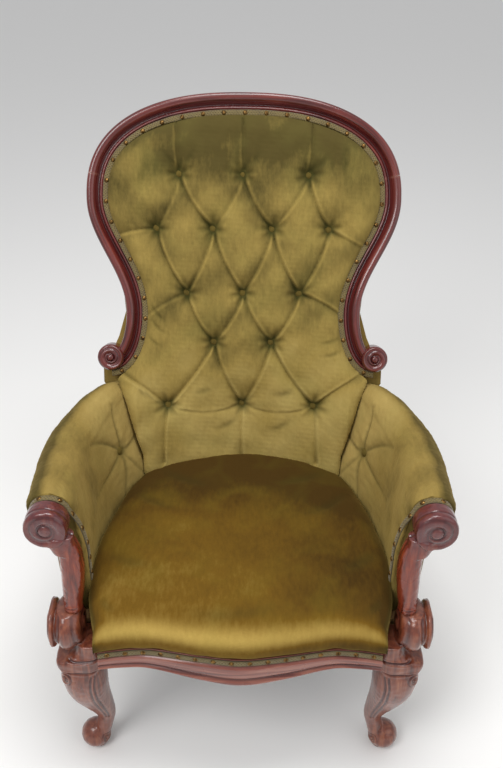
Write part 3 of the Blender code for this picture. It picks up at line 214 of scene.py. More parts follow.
# Meshes
class Shape:
    """Grids of points gathered into one mesh. Each point has a place on the cloth or along the grain in
    metres, a fold (how deep in a crease or groove it is, which the finishes paint as shade) and a nap (how
    the pile is brushed, with painted highlights and painted shade added to it)."""

    def __init__(self):
        self.points, self.places, self.folds, self.naps, self.faces = [], [], [], [], []
        self.count = 0

    def grid(self, points, places=None, fold=0.0, nap=0.0, round_columns=False, capped=False):
        rows, columns = points.shape[:2]
        index = np.arange(rows * columns).reshape(rows, columns) + self.count
        ring = np.concatenate([index, index[:, :1]], 1) if round_columns else index
        quads = np.stack([ring[:-1, :-1], ring[:-1, 1:], ring[1:, 1:], ring[1:, :-1]], -1).reshape(-1, 4)
        self.faces += quads.tolist()
        if capped:
            self.faces += [index[0][::-1].tolist(), index[-1].tolist()]
        if places is None:
            places = points[..., :2]
        self.points.append(points.reshape(-1, 3))
        self.places.append(np.broadcast_to(places, (rows, columns, 2)).reshape(-1, 2))
        self.folds.append(np.broadcast_to(fold, (rows, columns)).reshape(-1))
        self.naps.append(np.broadcast_to(nap, (rows, columns)).reshape(-1))
        self.count += rows * columns

    def mirrored(self):
        """The same shape on the chair's other side."""
        other = Shape()
        other.points = [p * (-1, 1, 1) for p in self.points]
        other.places, other.folds, other.naps, other.count = self.places, self.folds, self.naps, self.count
        other.faces = [face[::-1] for face in self.faces]
        return other

    def mesh(self, name):
        mesh = bpy.data.meshes.new(name)
        points = np.concatenate(self.points) + np.array(SHIFT)
        mesh.from_pydata(points.tolist(), [], self.faces)
        for label, values in (("fold", self.folds), ("nap", self.naps)):
            data = mesh.attributes.new(label, "FLOAT", "POINT").data
            data.foreach_set("value", np.concatenate(values).astype("f"))
        corners = np.zeros(len(mesh.loops), dtype="i")
        mesh.loops.foreach_get("vertex_index", corners)
        places = np.concatenate(self.places)[corners].astype("f")
        mesh.uv_layers.new(name="place").data.foreach_set("uv", places.reshape(-1))
        work = bmesh.new()
        work.from_mesh(mesh)
        bmesh.ops.remove_doubles(work, verts=work.verts, dist=1e-6)
        bmesh.ops.dissolve_degenerate(work, edges=work.edges, dist=1e-7)
        bmesh.ops.recalc_face_normals(work, faces=work.faces)
        work.to_mesh(mesh)
        work.free()
        mesh.shade_smooth()
        return mesh


def finished(name, mesh, material, nodes, sharp=None):
    """The object of a mesh that is already in its place: it moves with the chair and stands for CAD nodes."""
    mesh.materials.clear()
    mesh.materials.append(material)
    if sharp:
        mesh.set_sharp_from_angle(angle=math.radians(sharp))
    obj = bpy.data.objects.new(name, mesh)
    bpy.context.scene.collection.objects.link(obj)
    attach(obj, "root")
    if nodes:
        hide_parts(*nodes)
    return obj


def applied(obj):
    """An object's mesh as its modifiers leave it. The object is used up."""
    bpy.context.view_layer.update()
    graph = bpy.context.evaluated_depsgraph_get()
    mesh = bpy.data.meshes.new_from_object(obj.evaluated_get(graph))
    bpy.data.objects.remove(obj, do_unlink=True)
    return mesh


def normals(points):
    """Unit normals of a grid of points."""
    down, over = np.gradient(points, axis=0), np.gradient(points, axis=1)
    normal = np.cross(over, down)
    return normal / np.maximum(np.linalg.norm(normal, axis=-1, keepdims=True), 1e-12)


def swept_on_back(shape, path, profile):
    """Carries a closed profile of (aside, lift, recess) along a path of (x, rise) on the raked back."""
    right = sideways(path)
    x = path[:, :1] + right[:, :1] * profile[None, :, 0]
    rise = path[:, 1:] + right[:, 1:] * profile[None, :, 0]
    far, around = lengths(path), lengths(profile[:, :2])
    places = np.stack(np.broadcast_arrays(far[:, None], around[None, :]), -1)
    shape.grid(on_back(x, rise, profile[None, :, 1]), places, profile[None, :, 2], round_columns=True,
               capped=True)


def pad_corners(x, rise, lift, edge_lift):
    """A grid of points with one more row and column all round, let down to the given lift."""
    grown = [np.pad(np.asarray(a, float), 1, mode="edge") for a in (x, rise, lift)]
    border = np.ones(grown[2].shape, bool)
    border[1:-1, 1:-1] = False
    grown[2] = np.where(border, np.pad(np.broadcast_to(edge_lift, np.shape(x)), 1, mode="edge"), grown[2])
    return grown


def lid(shape, rows, columns):
    """Closes the last grid with one face round its border."""
    index = np.arange(rows * columns).reshape(rows, columns) + shape.count - rows * columns
    border = np.concatenate([index[0, :-1], index[:-1, -1], index[-1, :0:-1], index[:0:-1, 0]])
    shape.faces.append(border[::-1].tolist())


# Finishes
def colour(code):
    """A linear colour from an sRGB hex code."""
    parts = [int(code[i:i + 2], 16) / 255 for i in (1, 3, 5)]
    return (*[p / 12.92 if p <= 0.04045 else ((p + 0.055) / 1.055) ** 2.4 for p in parts], 1.0)


def add(tree, kind, links=None, inputs=None, stops=(), **settings):
    """Adds a node with its settings, its constant inputs, its colour stops and the sockets that feed it."""
    node = tree.nodes.new(kind)
    for key, value in settings.items():
        setattr(node, key, value)
    for key, value in (inputs or {}).items():
        node.inputs[key].default_value = value
    for key, source in (links or {}).items():
        tree.links.new(source, node.inputs[key])
    for n, (place, code) in enumerate(stops):
        elements = node.color_ramp.elements
        stop = elements[n] if n < len(elements) else elements.new(place)
        stop.position, stop.color = place, colour(code)
    return node


def blank(name):
    """A new material: its tree and its Principled shader."""
    material = bpy.data.materials.new(name)
    material.use_nodes = True
    return material, material.node_tree, material.node_tree.nodes["Principled BSDF"]


def laid_over(tree, below, above, pattern, low, high, most=1.0):
    """Lays a colour over another: none where the pattern is at low, and the given share where it is at high.
    Either colour is a hex code or a socket."""
    share = add(tree, "ShaderNodeMapRange", {"Value": pattern},
                {"From Min": low, "From Max": high, "To Min": 0.0, "To Max": most}).outputs["Result"]
    links, inputs = {0: share}, {}
    for socket, value in ((6, below), (7, above)):
        if isinstance(value, str):
            inputs[socket] = colour(value)
        else:
            links[socket] = value
    return add(tree, "ShaderNodeMix", links, inputs, data_type="RGBA").outputs[2]


def mahogany(name, dark, middle, light, along_uv, roughness, purple_above=None):
    """Old mahogany under worn french polish: red-brown with darker pores and streaks along the grain, near
    black as painted shade in the carved recesses and the concave hollows, paler and pinker on the edges that
    hands and cloths have rubbed. Above a height in metres, where one is given, the polish has gone purple."""
    material, tree, shader = blank(name)
    place = add(tree, "ShaderNodeTexCoord").outputs["Object"]
    if along_uv:
        where, along_grain = add(tree, "ShaderNodeUVMap", uv_map="place").outputs["UV"], (9.0, 150.0, 60.0)
    else:
        where, along_grain = place, (150.0, 150.0, 9.0)
    grain = add(tree, "ShaderNodeMapping", {"Vector": where}, {"Scale": along_grain}).outputs["Vector"]
    # grain streaks about 5 mm apart, and pores 1 mm long and 0.3 mm wide, drawn coarser so that they show
    streaks = add(tree, "ShaderNodeTexNoise", {"Vector": grain},
                  {"Scale": 1.0, "Detail": 5.0, "Distortion": 0.6}).outputs["Fac"]
    pores = add(tree, "ShaderNodeTexNoise", {"Vector": grain},
                {"Scale": 7.0, "Detail": 3.0, "Roughness": 0.7}).outputs["Fac"]
    # patches of thicker and thinner polish, about 7 cm across
    patches = add(tree, "ShaderNodeTexNoise", {"Vector": place},
                  {"Scale": 14.0, "Detail": 4.0}).outputs["Fac"]
    curve = add(tree, "ShaderNodeNewGeometry").outputs["Pointiness"]
    recess = add(tree, "ShaderNodeAttribute", attribute_name="fold").outputs["Fac"]
    wood = add(tree, "ShaderNodeValToRGB", {"Fac": streaks},
               stops=((0.28, dark), (0.5, middle), (0.74, light))).outputs["Color"]
    wood = laid_over(tree, wood, dark, pores, 0.58, 0.70, 0.28)
    wood = laid_over(tree, wood, middle, patches, 0.42, 0.62, 0.35)
    if purple_above:
        height = add(tree, "ShaderNodeSeparateXYZ", {0: place}).outputs["Z"]
        wood = laid_over(tree, wood, "#4c242b", height, purple_above - 0.02, purple_above + 0.01, 0.65)
    rubbed, painted_shade_in_hollows, painted_shade_in_grooves = "#a87460", "#2a0b0c", "#35090c"
    wood = laid_over(tree, wood, rubbed, curve, 0.515, 0.56, 0.22)
    # painted shade: darker in the concave hollows that pointiness finds, and near black in the carved
    # recesses that the fold attribute marks
    wood = laid_over(tree, wood, painted_shade_in_hollows, curve, 0.485, 0.44, 0.75)
    wood = laid_over(tree, wood, painted_shade_in_grooves, recess, 0.0, 1.0, 0.85)
    tree.links.new(wood, shader.inputs["Base Color"])
    gloss = add(tree, "ShaderNodeMapRange", {"Value": patches}, {
        "From Min": 0.3, "From Max": 0.7, "To Min": roughness - 0.07, "To Max": roughness + 0.10})
    tree.links.new(gloss.outputs["Result"], shader.inputs["Roughness"])
    bump = add(tree, "ShaderNodeBump", {"Height": pores}, {"Strength": 0.10, "Distance": 0.0006})
    tree.links.new(bump.outputs["Normal"], shader.inputs["Normal"])
    shader.inputs["IOR"].default_value = 1.45
    shader.inputs["Coat Weight"].default_value = 0.6
    shader.inputs["Coat Roughness"].default_value = 0.16
    return material


def velvet(name, deep, middle, light, tint):
    """Worn cotton velvet: short dense pile that looks light where it is brushed one way and dark the other,
    with painted shade dark and greener down in the folds, painted highlights and painted shade from the nap,
    a soft rim of light and a fine speckle of crushed pile."""
    material, tree, shader = blank(name)
    where = add(tree, "ShaderNodeTexCoord").outputs["Object"]
    # brushed patches 3 to 8 cm across, streaks of pile about 4 mm wide, and fibres drawn at about 1 mm
    patches = add(tree, "ShaderNodeTexNoise", {"Vector": where},
                  {"Scale": 13.0, "Detail": 2.0, "Distortion": 0.4}).outputs["Fac"]
    long_way = add(tree, "ShaderNodeMapping", {"Vector": where},
                   {"Scale": (1.0, 0.35, 0.35)}).outputs["Vector"]
    streaks = add(tree, "ShaderNodeTexNoise", {"Vector": long_way},
                  {"Scale": 150.0, "Detail": 4.0, "Roughness": 0.65}).outputs["Fac"]
    fibres = add(tree, "ShaderNodeTexNoise", {"Vector": where},
                 {"Scale": 900.0, "Detail": 2.0}).outputs["Fac"]
    nap = add(tree, "ShaderNodeAttribute", attribute_name="nap").outputs["Fac"]
    fold = add(tree, "ShaderNodeAttribute", attribute_name="fold").outputs["Fac"]
    # how light the pile looks, with the painted highlights and painted shade that the nap attribute carries:
    # a share of each pattern, added up
    brushed = add(tree, "ShaderNodeMath", {0: patches}, {1: 0.12}, operation="MULTIPLY").outputs[0]
    for pattern, share in ((streaks, 0.12), (nap, 0.32)):
        brushed = add(tree, "ShaderNodeMath", {0: pattern, 2: brushed}, {1: share},
                      operation="MULTIPLY_ADD").outputs[0]
    cloth = add(tree, "ShaderNodeValToRGB", {"Fac": brushed},
                stops=((0.0, deep), (0.15, middle), (0.42, light))).outputs["Color"]
    cloth = laid_over(tree, cloth, tint, patches, 0.45, 0.70, 0.16)
    cloth = laid_over(tree, cloth, deep, fibres, 0.35, 0.70, 0.20)
    # painted shade: dark and greener down in the folds, dimples and grooves that the fold attribute marks
    painted_fold_shade = "#2f3012"
    cloth = laid_over(tree, cloth, painted_fold_shade, fold, 0.0, 1.0, 0.90)
    tree.links.new(cloth, shader.inputs["Base Color"])
    shader.inputs["Roughness"].default_value = 0.92
    shader.inputs["Specular IOR Level"].default_value = 0.12
    shader.inputs["Sheen Weight"].default_value = 0.55
    shader.inputs["Sheen Roughness"].default_value = 0.38
    shader.inputs["Sheen Tint"].default_value = colour(light)
    pile = add(tree, "ShaderNodeBump", {"Height": fibres}, {"Strength": 0.25, "Distance": 0.0006})
    soft = add(tree, "ShaderNodeBump", {"Height": streaks, "Normal": pile.outputs["Normal"]},
               {"Strength": 0.18, "Distance": 0.0012})
    tree.links.new(soft.outputs["Normal"], shader.inputs["Normal"])
    return material


def woven(name, dark, light, thread):
    """Plain-woven jute or cotton: threads over and under each other, so many metres apart, with dark gaps
    between them."""
    material, tree, shader = blank(name)
    where = add(tree, "ShaderNodeTexCoord").outputs["Object"]
    warp, weft = [add(tree, "ShaderNodeTexWave", {"Vector": where},
                      {"Scale": 0.5 / thread / math.pi, "Distortion": 0.6, "Detail": 2.0},
                      wave_type="BANDS", bands_direction=way).outputs["Fac"] for way in ("X", "Y")]
    crossing = add(tree, "ShaderNodeMath", {0: warp, 1: weft}, operation="MAXIMUM").outputs[0]
    # dirty patches about 2 cm across
    dirt = add(tree, "ShaderNodeTexNoise", {"Vector": where}, {"Scale": 60.0, "Detail": 4.0}).outputs["Fac"]
    cloth = laid_over(tree, dark, light, crossing, 0.3, 0.9)
    cloth = laid_over(tree, cloth, dark, dirt, 0.4, 0.7, 0.5)
    tree.links.new(cloth, shader.inputs["Base Color"])
    shader.inputs["Roughness"].default_value = 0.9
    bump = add(tree, "ShaderNodeBump", {"Height": crossing}, {"Strength": 0.5, "Distance": thread * 0.4})
    tree.links.new(bump.outputs["Normal"], shader.inputs["Normal"])
    return material


def braid():
    """Plaited rayon and cotton gimp, faded to old gold: cords with the shine of thread, dirty patches, and
    painted shade between the cords.
    """
    material, tree, shader = blank("plaited_rayon_gimp")
    where = add(tree, "ShaderNodeUVMap", uv_map="place").outputs["UV"]
    fold = add(tree, "ShaderNodeAttribute", attribute_name="fold").outputs["Fac"]
    # threads about 0.7 mm apart, and dirty patches about 2 cm across
    thread = add(tree, "ShaderNodeTexNoise", {"Vector": where},
                 {"Scale": 1400.0, "Detail": 2.0}).outputs["Fac"]
    dirt = add(tree, "ShaderNodeTexNoise", {"Vector": where}, {"Scale": 45.0, "Detail": 3.0}).outputs["Fac"]
    cloth = laid_over(tree, "#4b3f1b", "#7f6c34", thread, 0.3, 0.7)
    cloth = laid_over(tree, cloth, "#4a3a1c", dirt, 0.45, 0.7, 0.5)
    # painted shade down between the cords
    cloth = laid_over(tree, cloth, "#221a0c", fold, 0.0, 1.0)
    tree.links.new(cloth, shader.inputs["Base Color"])
    shader.inputs["Roughness"].default_value = 0.62
    shader.inputs["Sheen Weight"].default_value = 0.25
    bump = add(tree, "ShaderNodeBump", {"Height": thread}, {"Strength": 0.4, "Distance": 0.0004})
    tree.links.new(bump.outputs["Normal"], shader.inputs["Normal"])
    return material


def old_metal(name, bright, tarnish, roughness):
    """Pressed brass or drawn steel that has gone dull: bright on the worn crowns, brown and rougher where the
    tarnish has built up."""
    material, tree, shader = blank(name)
    where = add(tree, "ShaderNodeTexCoord").outputs["Object"]
    # spots about 4 mm across
    spots = add(tree, "ShaderNodeTexNoise", {"Vector": where}, {"Scale": 260.0, "Detail": 4.0}).outputs["Fac"]
    tree.links.new(laid_over(tree, bright, tarnish, spots, 0.35, 0.65), shader.inputs["Base Color"])
    dull = add(tree, "ShaderNodeMapRange", {"Value": spots}, {
        "From Min": 0.35, "From Max": 0.65, "To Min": roughness, "To Max": roughness + 0.25})
    tree.links.new(dull.outputs["Result"], shader.inputs["Roughness"])
    shader.inputs["Metallic"].default_value = 1.0
    return material


def beech():
    """Bare sawn beech, gone brown with age: short dark flecks along the grain and saw marks across it."""
    material, tree, shader = blank("bare_sawn_beech")
    where = add(tree, "ShaderNodeTexCoord").outputs["Object"]
    # flecks about 5 mm wide and 4 cm long, and saw marks about 5 mm apart
    long_way = add(tree, "ShaderNodeMapping", {"Vector": where},
                   {"Scale": (60.0, 8.0, 60.0)}).outputs["Vector"]
    flecks = add(tree, "ShaderNodeTexNoise", {"Vector": long_way},
                 {"Scale": 3.0, "Detail": 6.0}).outputs["Fac"]
    saw = add(tree, "ShaderNodeTexWave", {"Vector": where}, {"Scale": 60.0, "Distortion": 2.0},
              bands_direction="Y").outputs["Fac"]
    wood = add(tree, "ShaderNodeValToRGB", {"Fac": flecks},
               stops=((0.3, "#6f4e2c"), (0.5, "#9b7648"), (0.7, "#b08d5c"))).outputs["Color"]
    tree.links.new(wood, shader.inputs["Base Color"])
    shader.inputs["Roughness"].default_value = 0.8
    bump = add(tree, "ShaderNodeBump", {"Height": saw}, {"Strength": 0.2, "Distance": 0.0004})
    tree.links.new(bump.outputs["Normal"], shader.inputs["Normal"])
    return material


FRAME_WOOD = mahogany("mahogany_of_the_frame", "#2d0c0c", "#5a1f1b", "#78342b", along_uv=True, roughness=0.27)
RAIL_WOOD = mahogany("mahogany_of_the_front_rail", "#4a1c16", "#7e4234", "#a06a56", along_uv=True,
                     roughness=0.30)
POST_WOOD = mahogany("mahogany_of_the_posts", "#3a110a", "#712917", "#95492b", along_uv=False, roughness=0.25,
                     purple_above=0.54)
LEG_WOOD = mahogany("mahogany_of_the_legs", "#451d13", "#713825", "#8c5338", along_uv=False, roughness=0.33)
BACK_VELVET = velvet("velvet_of_the_back", "#4c4220", "#8f7a40", "#b8a263", "#78753a")
ARM_VELVET = velvet("velvet_of_the_arms", "#4c401e", "#8b753d", "#b29a5c", "#757036")
SEAT_VELVET = velvet("velvet_of_the_seat", "#3f2c0b", "#6a4e16", "#b79a50", "#66601e")
OUTSIDE_VELVET = velvet("velvet_of_the_outside", "#54461f", "#8f773f", "#a99056", "#7b7438")
# the buttons' velvet is a darker copy of the back's, as painted shade for the dimples they sit in
BUTTON_VELVET_IN_PAINTED_SHADE = velvet("velvet_of_the_buttons_in_painted_shade", "#332c12", "#665627", "#8a7740", "#565022")
GIMP = braid()
BRASS = old_metal("tarnished_pressed_brass", "#8a6a3c", "#3c2b1a", 0.38)
STEEL = old_metal("dull_spring_steel", "#6f6c68", "#4a3f36", 0.45)
HESSIAN = woven("woven_jute_hessian", "#5d4527", "#a3845a", 0.0016)
WEBBING = woven("woven_jute_webbing", "#5a4630", "#b39a6e", 0.0022)
BLACK_CLOTH = woven("woven_black_cotton", "#0c0c0d", "#232325", 0.0009)
BARE_BEECH = beech()


# The carved frame of the back
def moulding_profile():
    """Closed section of the back's frame as (aside, lift, recess): bead, cove, inner bead, strip and rear."""
    outer_bead = ((-0.0155, -0.0090), (-0.0150, -0.0045), (-0.0130, -0.0010), (-0.0095, 0.0006),
                  (-0.0055, 0.0003), (-0.0018, -0.0016))
    cove = ((0.0014, -0.0052), (0.0034, -0.0090), (0.0052, -0.0122), (0.0072, -0.0132), (0.0090, -0.0118))
    inner_bead = ((0.0100, -0.0088), (0.0113, -0.0062), (0.0129, -0.0054), (0.0145, -0.0062),
                  (0.0154, -0.0076))
    carved = rounded(outer_bead + cove + inner_bead, 4)
    aside = carved[:, 0]
    # the recess is painted as shade in the cove and at the foot of the inner bead
    recess = np.exp(-((aside - 0.0072) / 0.0026) ** 2) + 0.6 * np.exp(-((aside - 0.0157) / 0.0006) ** 2)
    carved = np.column_stack([carved, recess])
    strip, inner = -STRIP_DROP, MOULD_W / 2 + STRIP_W
    rest = ((0.0160, strip, 0.5), (0.0185, strip, 0.0), (inner - 0.001, strip, 0.0),
            (inner, strip - 0.001, 0.0), (inner, -FRAME_T + 0.001, 0.3), (inner - 0.001, -FRAME_T, 0.0),
            (-0.0125, -FRAME_T, 0.0), (-0.0145, -FRAME_T + 0.002, 0.0), (-0.0154, -0.0270, 0.0),
            (-0.0155, -0.0150, 0.0))
    return np.concatenate([carved, np.array(rest)])


def spiral(radius, angle, outside, start, turn, ratio=0.46, eye=0.25):
    """Height (0 to 1) and recess of a carved scroll that winds in from the start angle round a raised eye."""
    share = np.maximum(radius / outside, 1e-3)
    wound = np.log(share) / math.log(ratio) - ((turn * (angle - start)) % (2 * math.pi)) / (2 * math.pi)
    across = wound - np.floor(wound)
    bead = np.sin(math.pi * np.clip(across / 0.72, 0, 1)) ** 0.7
    groove = np.exp(-((np.minimum(across, 1 - across)) / 0.11) ** 2)
    height = 0.25 + 0.55 * bead * np.sqrt(share)
    dome = 0.95 * np.sqrt(np.clip(1 - (share / eye) ** 2, 0, 1))
    inside = 1 - ease(share, eye * 0.92, eye * 1.05)
    ring = np.exp(-((share - eye * 1.08) / 0.05) ** 2)
    height = height * (1 - inside) + inside * (0.35 + dome * 0.65) - 0.35 * ring
    # the recess, painted as shade, lies in the groove and round the eye
    return height, np.clip(groove * (1 - inside) + ring, 0, 1) * 0.9


def scroll_disc(shape, place, outside, depth, carve, start, turn, rounding=0.004):
    """A disc with a carved face. Its place turns (a, b, c), across, up and out of the face, into points."""
    angle = np.linspace(0, 2 * math.pi, 161)[:-1]
    radius = np.concatenate([np.linspace(0.0, outside - rounding, 46),
                             outside - rounding + rounding * np.sin(np.linspace(0, math.pi / 2, 9)[1:])])
    r, a = np.meshgrid(radius, angle, indexing="ij")
    height, recess = spiral(r, a, outside, start, turn)
    edge = np.clip((r - (outside - rounding)) / rounding, 0, 1)
    out = carve * height * (1 - edge) - rounding * (1 - np.sqrt(1 - edge ** 2))
    wall = np.linspace(-rounding, -depth, 10)[1:]
    r = np.concatenate([r, np.full((len(wall), len(angle)), outside)])
    a = np.concatenate([a, np.broadcast_to(angle, (len(wall), len(angle)))])
    out = np.concatenate([out, np.broadcast_to(wall[:, None], (len(wall), len(angle)))])
    recess = np.concatenate([recess, np.zeros((len(wall), len(angle)))])
    points = place(r * np.cos(a), r * np.sin(a), out)
    shape.grid(points, np.stack([a * outside, r], -1), recess, round_columns=True, capped=True)


def cut_at_joint(path, way):
    """The part of a path above (1) or below (-1) the joint, ended exactly beside it."""
    kept = path[(path[:, 1] - JOINT_RISE) * way > 0.0006]
    ends = []
    for end, inner in ((kept[0], kept[1]), (kept[-1], kept[-2])):
        if abs(end[1] - JOINT_RISE) < 0.003:
            end = end + (end - inner) * (JOINT_RISE + way * 0.00012 - end[1]) / (end[1] - inner[1])
        ends.append(end)
    return np.concatenate([ends[:1], kept[1:-1], ends[1:]])


def make_back_frame():
    """The crest rail between its two joints, and a side rail with its scroll below each joint."""
    profile, line = moulding_profile(), full_horseshoe()
    crest = Shape()
    swept_on_back(crest, cut_at_joint(line, 1), profile)
    finished("crest_moulding", crest.mesh("crest_moulding"), FRAME_WOOD, ["crest_rail"], sharp=50)
    half = horseshoe()
    side = Shape()
    swept_on_back(side, cut_at_joint(half, -1), profile)
    scroll_disc(side, lambda a, b, c: on_back(SCROLL_X + a, b, 0.0035 + c), SCROLL_R, 0.034, 0.0052,
                -math.pi / 2, 1)
    for name, shape in (("right", side), ("left", side.mirrored())):
        mesh = shape.mesh(f"side_moulding_{name}")
        finished(f"side_moulding_{name}", mesh, FRAME_WOOD, [f"back_side_rail_{name}"], sharp=50)


# The buttoned back
def pad_outline():
    """Right edge of the back pad as (x, rise), from the top's middle down to its foot."""
    inner = horseshoe()
    inner = inner + sideways(inner) * (MOULD_W / 2 + STRIP_W - 0.002)
    inner[0] = (0.0, CREST_RISE - MOULD_W - STRIP_W + 0.002)
    return evenly(np.concatenate([inner[inner[:, 1] > -0.02], np.array(CREASE)]), 0.004)


def buttons():
    """Places of the back's buttons as (x, rise)."""
    return [(x, rise) for rise, row in BUTTON_ROWS for x in row]


def pleats():
    """Folds between the buttons and out to the edges: their two ends, how far they bow, and how deep."""
    rows = [[(x, rise) for x in row] for rise, row in BUTTON_ROWS]
    # pairs of buttons as row, place, next row, place
    down_right = ((0, 0, 1, 1), (0, 1, 1, 2), (0, 2, 1, 3), (1, 0, 2, 0), (1, 1, 2, 1),
                  (1, 2, 2, 2), (2, 0, 3, 0), (2, 1, 3, 1), (3, 0, 4, 1), (3, 1, 4, 2))
    down_left = ((0, 0, 1, 0), (0, 1, 1, 1), (0, 2, 1, 2), (1, 1, 2, 0), (1, 2, 2, 1),
                 (1, 3, 2, 2), (2, 1, 3, 0), (2, 2, 3, 1), (3, 0, 4, 0), (3, 1, 4, 1))
    folds = [(rows[a][i], rows[b][j], 0.0085, 1.0) for a, i, b, j in down_right]
    folds += [(rows[a][i], rows[b][j], -0.0065, 0.6 if a == 0 else 0.85) for a, i, b, j in down_left]
    folds += [((x, rise), (x * 1.04, CREST_RISE - 0.05), 0.0015 * n, 0.75)
              for n, (x, rise) in enumerate(rows[0])]
    folds += [((x, rise), (x * 1.05, PAD_FOOT + 0.02), 0.002, 0.7) for x, rise in rows[4]]
    folds += [(rows[1][0], (-0.255, 0.238), 0.003, 0.8), (rows[1][3], (0.250, 0.212), 0.003, 0.8),
              (rows[2][0], (-0.195, 0.080), 0.004, 0.45), (rows[2][2], (0.195, 0.085), -0.004, 0.9),
              (rows[4][0], (-0.256, -0.022), 0.006, 0.9), (rows[4][2], (0.256, -0.020), -0.006, 0.9),
              (rows[4][0], rows[4][1], 0.016, 0.35), (rows[4][1], rows[4][2], 0.016, 0.35)]
    return folds


# Small creases where the velvet is pulled to the frame: ends, bow, width and depth
CREASES = (((-0.196, -0.060), (-0.172, -0.085), 0.003, 0.004, 0.0030),
           ((-0.205, -0.058), (-0.187, -0.080), 0.002, 0.003, 0.0022),
           ((-0.186, 0.115), (-0.150, 0.070), 0.005, 0.004, 0.0022),
           ((-0.184, 0.085), (-0.148, 0.045), 0.006, 0.004, 0.0024),
           ((-0.190, 0.050), (-0.155, 0.020), 0.005, 0.004, 0.0020),
           ((0.150, 0.030), (0.196, 0.045), 0.004, 0.004, 0.0022),
           ((0.155, 0.005), (0.200, 0.020), 0.004, 0.004, 0.0022),
           ((-0.060, -0.150), (-0.005, -0.120), 0.006, 0.006, 0.0018),
           ((0.050, -0.150), (0.100, -0.125), 0.006, 0.006, 0.0018),
           ((-0.100, -0.070), (-0.060, -0.062), 0.004, 0.006, 0.0018),
           ((0.060, -0.075), (0.105, -0.066), 0.004, 0.006, 0.0018),
           ((-0.200, 0.330), (-0.190, 0.420), 0.006, 0.006, 0.0016),
           ((0.200, 0.330), (0.195, 0.420), -0.006, 0.006, 0.0016),
           ((-0.126, 0.357), (-0.160, 0.400), 0.003, 0.005, 0.0022),
           ((-0.126, 0.357), (-0.095, 0.405), 0.003, 0.005, 0.0022),
           ((0.124, 0.357), (0.160, 0.395), 0.003, 0.005, 0.0022),
           ((-0.003, 0.357), (0.030, 0.400), 0.003, 0.005, 0.0020))


def bent(start, end, bow, count=7):
    """A bowed line between two points, as a chain of points."""
    start, end = np.array(start), np.array(end)
    t = np.linspace(0, 1, count)[:, None]
    way = (end - start) / np.linalg.norm(end - start)
    return start + (end - start) * t + np.array((way[1], -way[0])) * bow * 4 * t * (1 - t)


def to_line(x, rise, line):
    """How far each point is from a line, signed by its side, and how far along the line it is, 0 to 1."""
    best, place = np.full(x.shape, 1e3), np.zeros(x.shape)
    for n, (a, b) in enumerate(zip(line, line[1:])):
        d = b - a
        t = np.clip(((x - a[0]) * d[0] + (rise - a[1]) * d[1]) / (d @ d), 0, 1)
        gap_x, gap_rise = x - a[0] - t * d[0], rise - a[1] - t * d[1]
        gap = np.hypot(gap_x, gap_rise) * np.where(d[0] * gap_rise - d[1] * gap_x < 0, -1, 1)
        nearer = np.abs(gap) < np.abs(best)
        best = np.where(nearer, gap, best)
        place = np.where(nearer, (n + t) / (len(line) - 1), place)
    return best, place


def nearest(x, rise, points):
    """Distance from each grid point to the nearest of a chain of points."""
    best = np.full(x.shape, 1e3)
    for a, b in points:
        best = np.minimum(best, np.hypot(x - a, rise - b))
    return best


def pad_level(x, rise):
    """Lift of the level to which the buttons are drawn down, with wings that come forward by the arms."""
    wing = 0.045 * np.minimum(np.abs(x) / 0.19, 1.1) ** 2 * (1 - ease(rise, -0.13, 0.06))
    return through(BUTTON_LIFTS, rise) + wing


def pad_rear(rise):
    """Lift of the pad's rear face, which lies a little deeper towards its foot."""
    return -0.0285 + 0.085 * (rise - 0.28)


